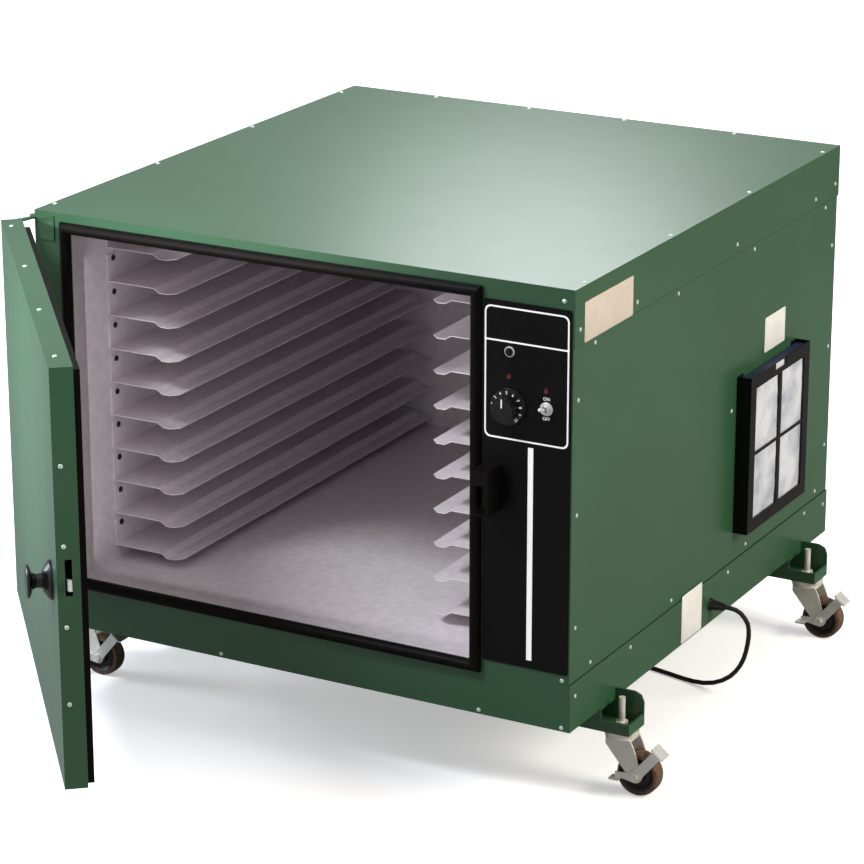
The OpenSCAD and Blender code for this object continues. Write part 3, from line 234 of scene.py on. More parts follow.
def galvanised_liner(name, colour):
    """Pale enamelled galvanised sheet: a cool grey with a low sheen, faint blotches of the
    zinc beneath and fine rolling lines."""
    material, tree, shader, place = new_material(name)
    blotches = add(tree, "ShaderNodeTexVoronoi", {"in:Scale": 1 / (14 * MM), "feature": "F1"},
                   {"Vector": place})
    colour_out = shades(tree, blotches.outputs["Distance"],
                        [(0.1, tone(colour, 1.05)), (0.75, tone(colour, 0.93))])
    tree.links.new(colour_out, shader.inputs["Base Color"])
    rolled = grain(tree, place, 6, detail=2, stretch=(1, 0.04, 1))
    tree.links.new(between(tree, rolled, 0.24, 0.42), shader.inputs["Roughness"])
    relief(tree, shader, rolled, 0.02, 0.3)
    shader.inputs["Metallic"].default_value = 0.12
    return material


def satin_black(name, colour, roughness=0.38):
    """Satin black enamel on plate: nearly black with a brown cast, fine powder texture."""
    material, tree, shader, place = new_material(name)
    dust = grain(tree, place, 40, detail=5)
    colour_out = shades(tree, dust, [(0.35, tone(colour, 0.85)), (0.75, tone(colour, 1.35))])
    tree.links.new(colour_out, shader.inputs["Base Color"])
    tree.links.new(between(tree, dust, roughness - 0.06, roughness + 0.1),
                   shader.inputs["Roughness"])
    relief(tree, shader, grain(tree, place, 0.9, detail=1), 0.02, 0.5)
    shader.inputs["Specular IOR Level"].default_value = 0.16
    return material


def sponge_rubber(name, colour):
    """Extruded sponge rubber: brown black, a skin with a soft shine and fine lengthwise drag."""
    material, tree, shader, place = new_material(name)
    bloom = grain(tree, place, 25, detail=5)
    colour_out = shades(tree, bloom, [(0.3, tone(colour, 0.8)), (0.7, tone(colour, 1.2))])
    tree.links.new(colour_out, shader.inputs["Base Color"])
    tree.links.new(between(tree, bloom, 0.42, 0.58), shader.inputs["Roughness"])
    relief(tree, shader, grain(tree, place, 1.2, detail=2), 0.08, 0.6)
    shader.inputs["Specular IOR Level"].default_value = 0.08
    return material


def moulded_black(name, colour, roughness=0.28):
    """Moulded phenolic: deep black, glossy, with the tool's faint flow marks."""
    material, tree, shader, place = new_material(name)
    flow = grain(tree, place, 9, detail=3)
    colour_out = shades(tree, flow, [(0.3, tone(colour, 0.8)), (0.8, tone(colour, 1.6))])
    tree.links.new(colour_out, shader.inputs["Base Color"])
    tree.links.new(between(tree, flow, roughness - 0.06, roughness + 0.08),
                   shader.inputs["Roughness"])
    relief(tree, shader, flow, 0.02, 0.3)
    return material


def bright_metal(name, code, roughness, streak_mm=2.0, stretch=(1, 1, 1), metallic=1.0):
    """Plated steel: mirror like with a blurred edge, the pressing's drag lines beneath the
    plate and dull spots where it was handled."""
    material, tree, shader, place = new_material(name)
    colour = srgb(code)
    handled = grain(tree, place, 11, detail=5)
    colour_out = shades(tree, handled, [(0.3, tone(colour, 0.86)), (0.7, colour)])
    tree.links.new(colour_out, shader.inputs["Base Color"])
    lines = grain(tree, place, streak_mm, detail=2, stretch=stretch)
    tree.links.new(between(tree, handled, roughness - 0.06, roughness + 0.12),
                   shader.inputs["Roughness"])
    relief(tree, shader, lines, 0.01, 0.4)
    shader.inputs["Metallic"].default_value = metallic
    return material


def spun_fleece(name):
    """Spun fibre filter pad: soft white clouds of fibre with blue grey dust drawn into the
    thin places, and single crossed fibres on its skin."""
    material, tree, shader, place = new_material(name)
    clouds = grain(tree, place, 62, detail=4, roughness=0.5)
    fibres = grain(tree, place, 1.8, detail=5, roughness=0.7, stretch=(1, 0.4, 1))
    thin = add(tree, "ShaderNodeMix", {"data_type": "FLOAT", "in:Factor": 0.16},
               {"A": clouds, "B": fibres}).outputs["Result"]
    colour_out = shades(tree, thin, [
        (0.34, srgb("#8B93AB")), (0.46, srgb("#C2C7DA")), (0.58, srgb("#DFE2F0"))])
    tree.links.new(colour_out, shader.inputs["Base Color"])
    shader.inputs["Roughness"].default_value = 0.95
    shader.inputs["Sheen Weight"].default_value = 0.4
    relief(tree, shader, thin, 3.0, 0.6)
    return material


def lens_red(name):
    """Clear red acrylic over a dark lamp chamber: a wet, deep red with a bright rim."""
    material, tree, shader, place = new_material(name)
    rings = grain(tree, place, 1.1, detail=1)
    tree.links.new(shades(tree, rings, [(0.3, srgb("#2C0408")), (0.7, srgb("#7C101C"))]),
                   shader.inputs["Base Color"])
    shader.inputs["Roughness"].default_value = 0.08
    shader.inputs["Coat Weight"].default_value = 0.8
    shader.inputs["Coat Roughness"].default_value = 0.04
    return material


def printed_ink(name, colour):
    """Screen printed ink: a flat matt white, slightly broken along the mesh of the screen."""
    material, tree, shader, place = new_material(name)
    tree.links.new(shades(tree, grain(tree, place, 0.8, detail=2),
                          [(0.25, tone(colour, 0.82)), (0.45, colour)]),
                   shader.inputs["Base Color"])
    shader.inputs["Roughness"].default_value = 0.6
    # Painted light: the ink glows faintly, so that it reads whiter than its lamps alone make it
    shader.inputs["Emission Color"].default_value = colour
    shader.inputs["Emission Strength"].default_value = 0.3
    return material


def foil_label(name, code):
    """Blank printed foil label: a smooth pale film with a slight waviness and a dull edge."""
    material, tree, shader, place = new_material(name)
    wave = grain(tree, place, 18, detail=2)
    tree.links.new(shades(tree, wave, [(0.3, tone(srgb(code), 0.92)), (0.7, srgb(code))]),
                   shader.inputs["Base Color"])
    tree.links.new(between(tree, wave, 0.32, 0.5), shader.inputs["Roughness"])
    relief(tree, shader, wave, 0.1, 0.4)
    return material


def vinyl_jacket(name):
    """Extruded vinyl cable jacket: black, half matt, with handling dust."""
    material, tree, shader, place = new_material(name)
    dust = grain(tree, place, 12, detail=4)
    tree.links.new(shades(tree, dust, [(0.3, srgb("#0D0C0D")), (0.75, srgb("#2A2728"))]),
                   shader.inputs["Base Color"])
    tree.links.new(between(tree, dust, 0.38, 0.55), shader.inputs["Roughness"])
    relief(tree, shader, grain(tree, place, 1.5, detail=1), 0.04, 0.4)
    return material


def hard_rubber(name, low, high, roughness):
    """Hard rubber of a caster's wheel: dense, scuffed along the tread, dusty in the recess."""
    material, tree, shader, place = new_material(name)
    scuff = grain(tree, place, 5, detail=6, roughness=0.65)
    tree.links.new(shades(tree, scuff, [(0.32, srgb(low)), (0.72, srgb(high))]),
                   shader.inputs["Base Color"])
    tree.links.new(between(tree, scuff, roughness, roughness + 0.2), shader.inputs["Roughness"])
    relief(tree, shader, scuff, 0.12, 0.6)
    return material


MATERIALS = {}


def finish_of(name):
    """The finish of that name, made once."""
    if name not in MATERIALS:
        c = colours()
        makers = {
            "enamel": lambda: baked_enamel("green baked enamel", rgba(c.enamel)),
            "liner": lambda: galvanised_liner("enamelled galvanised sheet", rgba(c.liner)),
            "plate": lambda: satin_black("satin black enamel", rgba(c.plate)),
            "gasket": lambda: sponge_rubber("sponge rubber extrusion", srgb("#0F0B0B")),
            "phenolic": lambda: moulded_black("moulded phenolic", srgb("#100F10")),
            "nickel": lambda: bright_metal("bright nickel plate", "#F2F1EF", 0.16,
                                           metallic=0.55),
            "zinc": lambda: bright_metal("bright zinc plate", "#F8F4EC", 0.2, 3.0,
                                         metallic=0.3),
            "rivet": lambda: bright_metal("aluminium rivet heads", "#E4F0E9", 0.3, 1.5,
                                          metallic=0.4),
            "aluminium": lambda: bright_metal("rolled aluminium", "#C4C6C8", 0.33, 1.5,
                                              (1, 0.1, 1)),
            "fleece": lambda: spun_fleece("spun fibre fleece"),
            "lens": lambda: lens_red("red acrylic lens"),
            "ink": lambda: printed_ink("white printed ink", rgba(c.print_white)),
            "plate_foil": lambda: foil_label("blank metal foil plate", "#D9CBC4"),
            "label": lambda: foil_label("blank white film label", "#F4F3F4"),
            # Painted shadow: a dark green enamel for the strips laid in the lap seams
            "seam": lambda: satin_black("shadow in a lap seam", srgb("#1B2E20"), 0.8),
            "board": lambda: moulded_black("navy filter board", srgb("#1B2440"), 0.5),
            "jacket": lambda: vinyl_jacket("black vinyl jacket"),
            "wheel": lambda: hard_rubber("black wheel rubber", "#131112", "#2C2828", 0.4),
            "tread": lambda: hard_rubber("brown tread rubber", "#4A3328", "#8A6B55", 0.5),
        }
        MATERIALS[name] = makers[name]()
    return MATERIALS[name]


# Mesh helpers

def piece(name, mesh, body, finish, smooth_deg=None):
    """Puts a bmesh into the scene as a piece that rides on a body with a finish."""
    data = bpy.data.meshes.new(name)
    mesh.to_mesh(data)
    mesh.free()
    made = bpy.data.objects.new(name, data)
    bpy.context.scene.collection.objects.link(made)
    data.materials.append(finish_of(finish))
    if smooth_deg is not None:
        shade(made, smooth_deg)
    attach(made, body)
    return made


def shade(made, degrees):
    """Smooth shading with edges sharper than degrees kept crisp."""
    data = made.data
    data.polygons.foreach_set("use_smooth", [True] * len(data.polygons))
    data.set_sharp_from_angle(angle=math.radians(degrees))


def lathe(mesh, profile, origin, axis, steps=24, start=None):
    """Turns a profile of (radius, height) in metres round an axis, closed at radius 0."""
    axis = Vector(axis).normalized()
    side = Vector(start).normalized() if start else axis.orthogonal().normalized()
    other = axis.cross(side)
    rings = []
    for radius, height in profile:
        middle = Vector(origin) + axis * height
        if radius < 1e-7:
            rings.append([mesh.verts.new(middle)])
            continue
        rings.append([mesh.verts.new(middle + radius * (math.cos(a) * side + math.sin(a) * other))
                      for a in (2 * math.pi * k / steps for k in range(steps))])
    for low, high in zip(rings, rings[1:]):
        for k in range(steps):
            n = (k + 1) % steps
            if len(low) == 1 and len(high) > 1:
                mesh.faces.new((low[0], high[n], high[k]))
            elif len(high) == 1 and len(low) > 1:
                mesh.faces.new((low[k], low[n], high[0]))
            elif len(low) > 1:
                mesh.faces.new((low[k], low[n], high[n], high[k]))
    return rings


def mirrored(lower, middle=()):
    """A profile for a lathe from its lower half, its middle points and the mirrored half."""
    return [*lower, *middle, *((radius, -height) for radius, height in reversed(lower))]


def slab(mesh, low, high):
    """A block between two corners."""
    v = [mesh.verts.new((x, y, z)) for x in (low.x, high.x) for y in (low.y, high.y)
         for z in (low.z, high.z)]
    for face in ((0, 1, 3, 2), (4, 6, 7, 5), (0, 4, 5, 1), (2, 3, 7, 6), (0, 2, 6, 4),
                 (1, 5, 7, 3)):
        mesh.faces.new([v[i] for i in face])


def rounded(width, height, radius, steps=5):
    """Outline points of a rounded rectangle about the origin."""
    points = []
    for cx, cy, a0 in ((1, 1, 0), (-1, 1, 90), (-1, -1, 180), (1, -1, 270)):
        for k in range(steps + 1):
            a = math.radians(a0 + 90 * k / steps)
            points.append((cx * (width / 2 - radius) + radius * math.cos(a),
                           cy * (height / 2 - radius) + radius * math.sin(a)))
    return points


def frame_line(mesh, outline, inner, place, thick):
    """A flat raised band between two outlines of equal count, placed by a matrix."""
    n = len(outline)
    levels = []
    for depth in (0, thick):
        for points in (outline, inner):
            levels.append([mesh.verts.new(place @ Vector((x, y, depth))) for x, y in points])
    out0, in0, out1, in1 = levels
    for k in range(n):
        m = (k + 1) % n
        mesh.faces.new((out1[k], out1[m], in1[m], in1[k]))
        mesh.faces.new((out0[k], out0[m], out1[m], out1[k]))
        mesh.faces.new((in1[k], in1[m], in0[m], in0[k]))


def oblong(width, height):
    """Outline points of a sharp rectangle about the origin."""
    return [(a * width / 2, b * height / 2) for a, b in ((-1, -1), (1, -1), (1, 1), (-1, 1))]


def pad(mesh, outline, place, thick, lip=0.0):
    """A flat filled plate of an outline with a softened rim, placed by a matrix."""
    inner = [(x * (1 - lip), y * (1 - lip)) for x, y in outline]
    base = [mesh.verts.new(place @ Vector((x, y, 0))) for x, y in outline]
    rim = [mesh.verts.new(place @ Vector((x, y, thick * 0.6))) for x, y in outline]
    top = [mesh.verts.new(place @ Vector((x, y, thick))) for x, y in inner]
    n = len(outline)
    for low, high in ((base, rim), (rim, top)):
        for k in range(n):
            m = (k + 1) % n
            mesh.faces.new((low[k], low[m], high[m], high[k]))
    mesh.faces.new(top)


def facing(origin, right, up):
    """Matrix that puts x along right, y along up and z out of the surface at origin."""
    right, up = Vector(right).normalized(), Vector(up).normalized()
    out = right.cross(up)
    return Matrix.Translation(origin) @ Matrix((right, up, out)).transposed().to_4x4()


def figures(mesh, words, height, place):
    """Adds plain lettering, centred on the place, as a thin solid."""
    curve = bpy.data.curves.new("figures", "FONT")
    curve.body = words
    curve.size = height
    curve.align_x = "CENTER"
    curve.align_y = "CENTER"
    curve.extrude = 0.00012
    made = bpy.data.objects.new("figures", curve)
    bpy.context.scene.collection.objects.link(made)
    bpy.context.view_layer.update()
    shape = made.evaluated_get(bpy.context.evaluated_depsgraph_get()).to_mesh()
    copied = shape.copy()
    copied.transform(place)
    mesh.from_mesh(copied)
    made.evaluated_get(bpy.context.evaluated_depsgraph_get()).to_mesh_clear()
    bpy.data.objects.remove(made)
    bpy.data.curves.remove(curve)
    bpy.data.meshes.remove(copied)


def dress(node, finish, smooth_deg=30, fold=0.0, steps=2):
    """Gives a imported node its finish, smooth shading and softened folds."""
    made = frame["nodes"][node]
    made.data.materials.clear()
    made.data.materials.append(finish_of(finish))
    shade(made, smooth_deg)
    if fold:
        soft = made.modifiers.new("softened folds", "BEVEL")
        soft.width = fold
        soft.segments = steps
        soft.limit_method = "ANGLE"
        soft.angle_limit = math.radians(40)
        soft.harden_normals = True


# Camera, mains lead and stage

class CABINET_OT_camera(bpy.types.Operator):
    """Sets the camera at the photograph's angle."""
    bl_idname = "cabinet.camera"
    bl_label = "Camera"

    def execute(self, context):
        data = bpy.data.cameras.new("view")
        data.sensor_width = 36
        data.lens = 138.7
        data.clip_end = 60
        camera = bpy.data.objects.new("view", data)
        context.scene.collection.objects.link(camera)
        yaw, pitch, roll = (math.radians(a) for a in (28.87, 18.67, -0.035))
        ahead = Vector((-math.sin(yaw) * math.cos(pitch), math.cos(yaw) * math.cos(pitch),
                        -math.sin(pitch)))
        right = Vector((math.cos(yaw), math.sin(yaw), 0))
        up = right.cross(ahead)
        turned = right * math.cos(roll) + up * math.sin(roll)
        risen = up * math.cos(roll) - right * math.sin(roll)
        facing_back = Matrix((turned, risen, -ahead)).transposed().to_4x4()
        camera.matrix_world = Matrix.Translation(case_point(2723, -3762, 1853)) @ facing_back
        context.scene.camera = camera
        return {"FINISHED"}


# Middle of the lead's free stretch: x and y in mm from the case's front left corner, z the
# height of its underside above the floor
LEAD_ROUTE = [
    (888, 465, 152.5), (896, 465, 152.5), (905, 466, 151), (913, 467, 146.5),
    (919, 468, 139.5), (923, 470, 131), (924, 472, 121), (923, 475, 109), (920, 479, 95),
    (916, 483, 81), (911, 487, 67), (904, 491, 53), (895, 495, 40), (884, 499, 28),
    (870, 503, 17.5), (854, 507, 9), (836, 511, 3.5), (817, 515, 1), (797, 520, 0),
    (773, 526, 0), (747, 532, 0), (720, 537, 0), (691, 540, 0.5), (662, 541, 1.5),
    (640, 541, 1.5)]
LEAD_TURNS = 6
LEAD_STEPS = 24
LEAD_GAP = 0.6


def lead_points():
    """The lead from its gland to its plug: the free stretch, then the coil's two layers."""
    d = sizes().lead_width / MM
    route = [Vector((x, y, z + d / 2)) for x, y, z in LEAD_ROUTE]
    pitch = d + LEAD_GAP
    middle = d * 5.5
    inner = middle - pitch * LEAD_TURNS / 4
    outer = middle + pitch * LEAD_TURNS / 4
    centre = route[-1] + Vector((-d, outer, 0))
    loops = []
    for i in range(LEAD_TURNS * LEAD_STEPS + 1):
        t = i / LEAD_STEPS
        s = max(0.0, min(1.0, (t - LEAD_TURNS / 2) * 2 + 0.5))
        r = inner + abs(t - LEAD_TURNS / 2) * pitch
        a = 2 * math.pi * t
        loops.append(centre + Vector((-r * math.sin(a), -r * math.cos(a),
                                      pitch * s * s * (3 - 2 * s))))
    tail = [loops[-1] - Vector((i * d * 3.5 / 3, 0, 0)) for i in (1, 2, 3)]
    return [floor_point(*p) for p in route + loops + tail]


class CABINET_OT_lead(bpy.types.Operator):
    """Makes the mains lead with its coil, and dresses the gland, tie and plug."""
    bl_idname = "cabinet.lead"
    bl_label = "Mains lead"

    def execute(self, context):
        points = lead_points()
        curve = bpy.data.curves.new("mains_lead", "CURVE")
        curve.dimensions = "3D"
        curve.bevel_depth = sizes().lead_width / 2
        curve.bevel_resolution = 4
        curve.use_fill_caps = True
        line = curve.splines.new("POLY")
        line.points.add(len(points) - 1)
        for knot, p in zip(line.points, points):
            knot.co = (p.x, p.y, p.z, 1)
        line.use_smooth = True
        lead = bpy.data.objects.new("mains_lead", curve)
        context.scene.collection.objects.link(lead)
        curve.materials.append(finish_of("jacket"))
        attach(lead, "cabinet")
        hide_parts("power_cord", "cord_coil")
        dress("cord_gland", "phenolic", 40)
        dress("cord_tie", "jacket", 30, 0.3 * MM)
        dress("power_plug", "jacket", 35, 0.8 * MM)
        return {"FINISHED"}


class CABINET_OT_sheet_metal(bpy.types.Operator):
    """Dresses the case's folded sheets, the liner and the runners, and lays strips of painted
    shadow in the lap seams.
    """
    bl_idname = "cabinet.sheet_metal"
    bl_label = "Sheet metal"

    def execute(self, context):
        fold = sizes().edge_round
        for node in ("top_cover", "base_pan"):
            dress(node, "enamel", 30, fold, 3)
        for node in ("left_side_panel", "right_side_panel", "back_panel", "hinge_stile",
                     "front_header", "front_sill", "control_stile"):
            dress(node, "enamel", 30, 0.3 * MM)
        for node in ("liner_left", "liner_right", "liner_back", "liner_top", "liner_floor"):
            dress(node, "liner")
        for node in ("left_runners", "right_runners"):
            dress(node, "liner", 20, 0.3 * MM)
        dress("door_gasket", "gasket", 35)

        # Painted shadow: thin dark strips along the lower edge of the cover's skirt and the top
        # of the pan's flange, standing in for the shade in the seams
        painted_seam_shadow = bmesh.new()
        skin = 0.25
        seams = ((SKIRT_LOW - 1.4, SKIRT_LOW + 0.2), (PAN_TOP - 0.2, PAN_TOP + 1.2))
        for wall in (SHEET, CASE_W - SHEET):
            for z0, z1 in seams:
                slab(painted_seam_shadow, case_point(wall - skin, SHEET, z0),
                     case_point(wall + skin, CASE_D - SHEET, z1))
        for z0, z1 in seams:
            slab(painted_seam_shadow, case_point(SHEET, CASE_D - SHEET - skin, z0),
                 case_point(CASE_W - SHEET, CASE_D - SHEET + skin, z1))
        piece("seam_shadows", painted_seam_shadow, "cabinet", "seam")
        return {"FINISHED"}


def rivet(mesh, where, out):
    """A pop rivet's domed head with the dimple of its pulled pin."""
    r, h = sizes().rivet_width / 2, sizes().rivet_rise
    lathe(mesh, [(r, 0), (r, h * 0.25), (r * 0.86, h * 0.62), (r * 0.6, h * 0.9),
                 (r * 0.36, h), (r * 0.28, h * 0.72), (0, h * 0.66)], where, out, 16)


def case_rivet_places():
    """Where rivets sit on the case, with the way that each one faces."""
    side_heights = (574.4, 476, 312.7, 149.9, 49.8)
    row_depths = (64, 328, 593, 863)
    edge = 15.5
    places = []
    for x, out in ((CASE_W, (1, 0, 0)), (0, (-1, 0, 0))):
        sheet_in = -SHEET if x else SHEET
        for z in side_heights:
            inset = 0 if z > SKIRT_LOW or z < PAN_TOP else sheet_in
            places.append(((x + inset, edge, z), out))
            places.append(((x + inset, CASE_D - edge, z), out))
        for y in row_depths:
            places.append(((x + sheet_in, y, 543.5), out))
            places.append(((x + sheet_in, y, 82), out))
        for y in (526, 819, 190):
            places.append(((x, y, 567), out))
            places.append(((x, y, 59), out))
        places.append(((x + sheet_in, 526, 312.7), out))
    for y in (41, 310, 580, 857):
        for x in (7, CASE_W - 7):
            places.append(((x, y, CASE_H), (0, 0, 1)))
    for x in (160, 330, 500, 690):
        places.append(((x, CASE_D - 9, CASE_H), (0, 0, 1)))
    for x, z in ((848, 615), (851, 75.4), (851, 5.3), (722.6, 5.8), (12, 75.4), (12, 5.3),
                 (300, 5.8), (12, 615)):
        places.append(((x, 0, z), (0, -1, 0)))
    for x in (20, 230, 432, 634, CASE_W - 20):
        places.append(((x, CASE_D, CASE_H - 66), (0, 1, 0)))
        places.append(((x, CASE_D, 57), (0, 1, 0)))
        places.append(((x, CASE_D - SHEET, 316), (0, 1, 0)))
    return places


# Runners in mm: their number a side, sheet, height and how high their screws sit on them
RUNNER_COUNT, RUNNER_SHEET, RUNNER_RISE, SCREW_RISE = 10, 1.2, 46, 39


class CABINET_OT_fasteners(bpy.types.Operator):
    """Adds the rivets of the case and the door and the screws of the runners."""
    bl_idname = "cabinet.fasteners"
    bl_label = "Rivets and screws"

    def execute(self, context):
        case = bmesh.new()
        for where, out in case_rivet_places():
            rivet(case, case_point(*where), out)
        piece("case_rivets", case, "cabinet", "rivet", 50)

        door = bmesh.new()
        turn = DOOR_TURN.to_3x3()
        edge_out = turn @ Vector((1, 0, 0))
        for z in (495.7, 389.6, 281, 176):
            rivet(door, DOOR_TURN @ case_point(DOOR_EDGE + DOOR_W, DOOR_FACE + 10, z), edge_out)
        for u in (36.7, 250, 460, 666):
            for z, out in ((DOOR_TOP, (0, 0, 1)), (DOOR_LOW, (0, 0, -1))):
                rivet(door, DOOR_TURN @ case_point(DOOR_EDGE + u, DOOR_FACE + 12, z), out)
        piece("door_rivets", door, "door", "rivet", 50)

        screws = bmesh.new()
        low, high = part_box("left_runners")
        walls = ((low.x + RUNNER_SHEET * MM, 1),
                 (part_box("right_runners")[1].x - RUNNER_SHEET * MM, -1))
        step = ((high.z - low.z) / MM - RUNNER_RISE) / (RUNNER_COUNT - 1)
        for i in range(RUNNER_COUNT):
            z = low.z + (SCREW_RISE + i * step) * MM
            for wall, side in walls:
                for y in (102, 470, 830):
                    where = Vector((wall, COVER_LO.y + y * MM, z))
                    lathe(screws, [(4.6 * MM, 0), (4.6 * MM, 0.8 * MM), (3.6 * MM, 2.2 * MM),
                                   (1.6 * MM, 2.8 * MM), (1.2 * MM, 1.6 * MM), (0, 1.6 * MM)],
                          where, (side, 0, 0), 16)
        piece("runner_screws", screws, "cabinet", "phenolic", 40)
        return {"FINISHED"}


PLATE_X, PLATE_Z = 729.0, 84.5
DIAL_X, DIAL_Z = PLATE_X + 38, PLATE_Z + 372.5
TOGGLE_X, TOGGLE_Z = PLATE_X + 95, PLATE_Z + 378
BREAKER_X, BREAKER_Z = DIAL_X + 1.5, PLATE_Z + 450
PLATE_FRONT = -2.0
INK = 0.15 * MM  # thickness of the print


def on_plate(x, z):
    """Matrix of a place on the control plate's face."""
    return facing(case_point(x, PLATE_FRONT, z), (1, 0, 0), (0, 0, 1))


class CABINET_OT_controls(bpy.types.Operator):
    """Dresses the control plate and adds its printed lines, figures and switch trim."""
    bl_idname = "cabinet.controls"
    bl_label = "Controls"

    def execute(self, context):
        dress("control_plate", "plate", 30, 0.4 * MM)
        dress("strike_keeper", "plate", 30, 0.5 * MM)
        dress("dial_knob", "phenolic", 30, 0.5 * MM)
        dress("thermostat_body", "zinc", 30, 0.5 * MM)
        dress("toggle_body", "nickel", 30, 0.3 * MM)
        dress("toggle_lever", "nickel", 60)
        dress("breaker_body", "phenolic", 40, 0.3 * MM)
        dress("breaker_button", "phenolic", 40, 0.4 * MM)
        dress("indicator_lamps", "lens", 40, 0.3 * MM)

        line = sizes().line_width / MM
        printed = bmesh.new()
        x0, x1, z0, z1 = 730.5, 857.0, 410.5, 596.0
        outline = rounded((x1 - x0) * MM, (z1 - z0) * MM, 9 * MM)
        inner = rounded((x1 - x0 - 2 * line) * MM, (z1 - z0 - 2 * line) * MM, 7.5 * MM)
        frame_line(printed, outline, inner, on_plate((x0 + x1) / 2, (z0 + z1) / 2), INK)
        pad(printed, oblong((x1 - x0) * MM, line * MM), on_plate((x0 + x1) / 2, 548), INK)
        pad(printed, oblong(8 * MM, 307.5 * MM), on_plate(801, 250.25), INK)
        figures(printed, "ON", 6.4 * MM, on_plate(TOGGLE_X, 476.3))
        figures(printed, "OFF", 6.4 * MM, on_plate(TOGGLE_X, 448.6))
        piece("plate_print", printed, "cabinet", "ink")

        ticks = bmesh.new()
        front = (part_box("dial_knob")[1].y - COVER_LO.y) / MM - 5.0
        radius = 21.0
        for k in range(11):
            a = math.radians(225 - 27 * k)
            spot = facing(case_point(DIAL_X + radius * math.cos(a), front,
                                     DIAL_Z + radius * math.sin(a)),
                          (math.sin(a), 0, -math.cos(a)), (math.cos(a), 0, math.sin(a)))
            figures(ticks, str(k), 6.2 * MM, spot)
        bar = facing(case_point(DIAL_X, front - 15.05, DIAL_Z + 10), (1, 0, 0), (0, 0, 1))
        pad(ticks, oblong(1.8 * MM, 12 * MM), bar, INK)
        piece("dial_figures", ticks, "dial", "ink")

        rims = bmesh.new()
        lathe(rims, [(7.6 * MM, 0), (7.6 * MM, 1.4 * MM), (6.9 * MM, 2.2 * MM),
                     (5.75 * MM, 2.2 * MM), (5.75 * MM, 0.2 * MM)],
              case_point(BREAKER_X, PLATE_FRONT, BREAKER_Z), (0, -1, 0), 32)
        lathe(rims, [(9.6 * MM, 0), (9.6 * MM, 0.4 * MM), (9.2 * MM, 0.7 * MM),
                     (6.2 * MM, 0.7 * MM)],
              case_point(TOGGLE_X, PLATE_FRONT, TOGGLE_Z), (0, -1, 0), 32)
        piece("switch_rims", rims, "cabinet", "nickel", 40)
        return {"FINISHED"}


class CABINET_OT_labels(bpy.types.Operator):
    """Adds the blank plates and labels on the right side."""
    bl_idname = "cabinet.labels"
    bl_label = "Blank plates"

    def execute(self, context):
        spots = [  # middle y, middle z, width, height, corner, how far in the face lies
            (102.5, 580.5, 148, 56, 1.5, 0.0),
            (680, 397.5, 76, 54, 3, 1.5),
            (398, 38.5, 70, 74, 2, 0.0)]
        films = (("blank_plate_front", "plate_foil"), ("blank_label_back", "label"),
                 ("blank_label_low", "label"))
        for (y, z, w, h, corner, back), (name, film) in zip(spots, films):
            mesh = bmesh.new()
            place = facing(case_point(CASE_W - back, y, z), (0, 1, 0), (0, 0, 1))
            pad(mesh, rounded(w * MM, h * MM, corner * MM), place, 0.35 * MM, 0.006)
            piece(name, mesh, "cabinet", film, 30)
        return {"FINISHED"}


class CABINET_OT_air(bpy.types.Operator):
    """Dresses the fan, heater and filter holder and makes the filter's fibre pad."""
    bl_idname = "cabinet.air"
    bl_label = "Air supply"

    def execute(self, context):
        dress("filter_frame", "plate", 30, 0.4 * MM)
        dress("fan_housing", "zinc", 30, 0.3 * MM)
        dress("fan_motor", "plate", 40, 1.0 * MM)
        dress("fan_wheel", "aluminium", 40)
        dress("heater", "aluminium", 40)

        low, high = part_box("air_filter")
        mesh = bmesh.new()
        columns, rows = 66, 72
        grid = []
        for i in range(columns + 1):
            line = []
            for j in range(rows + 1):
                u, v = i / columns, j / rows
                swell = min(1.0, 6 * min(u, 1 - u)) * min(1.0, 6 * min(v, 1 - v))
                ripple = (math.sin(u * 37 + 3 * math.sin(v * 11)) * math.sin(v * 29 + 1.7)
                          + 0.6 * math.sin(u * 83 + v * 61))
                x = high.x - 0.0026 + 0.0022 * swell + 0.0004 * ripple * swell
                line.append(mesh.verts.new((min(x, high.x), low.y + u * (high.y - low.y),
                                            low.z + v * (high.z - low.z))))
            grid.append(line)
        for a, b in zip(grid, grid[1:]):
            for k in range(rows):
                mesh.faces.new((a[k], b[k], b[k + 1], a[k + 1]))
        rim = ([g[0] for g in grid] + grid[-1][1:] + [g[-1] for g in reversed(grid[:-1])]
               + grid[0][-2:0:-1])
        back = [mesh.verts.new((low.x, p.co.y, p.co.z)) for p in rim]
        for k in range(len(rim)):
            n = (k + 1) % len(rim)
            mesh.faces.new((rim[n], rim[k], back[k], back[n]))
        mesh.faces.new(back)
        bmesh.ops.recalc_face_normals(mesh, faces=mesh.faces)
        fleece = piece("filter_fleece", mesh, "filter", "fleece", 60)
        fleece.data.materials.append(finish_of("board"))
        for face in fleece.data.polygons:
            if face.normal.z > 0.7 and face.center.z > high.z - 0.001:
                face.material_index = 1
        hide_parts("air_filter")
        return {"FINISHED"}


class CABINET_OT_door(bpy.types.Operator):
    """Dresses the door, its hinges, knob and latch."""
    bl_idname = "cabinet.door"
    bl_label = "Door"

    def execute(self, context):
        dress("door_shell", "enamel", 30, 1.0 * MM, 3)
        dress("door_inner_panel", "liner")
        dress("door_seal", "gasket", 30, 1.2 * MM, 3)
        dress("hinge_arms", "enamel", 30, 0.4 * MM)
        dress("hinge_brackets", "enamel", 30, 0.3 * MM)
        dress("knob_rose", "phenolic", 40, 0.3 * MM)
        dress("door_knob", "phenolic", 40, 0.3 * MM)
        dress("latch_arm", "nickel", 30, 0.4 * MM)
        return {"FINISHED"}


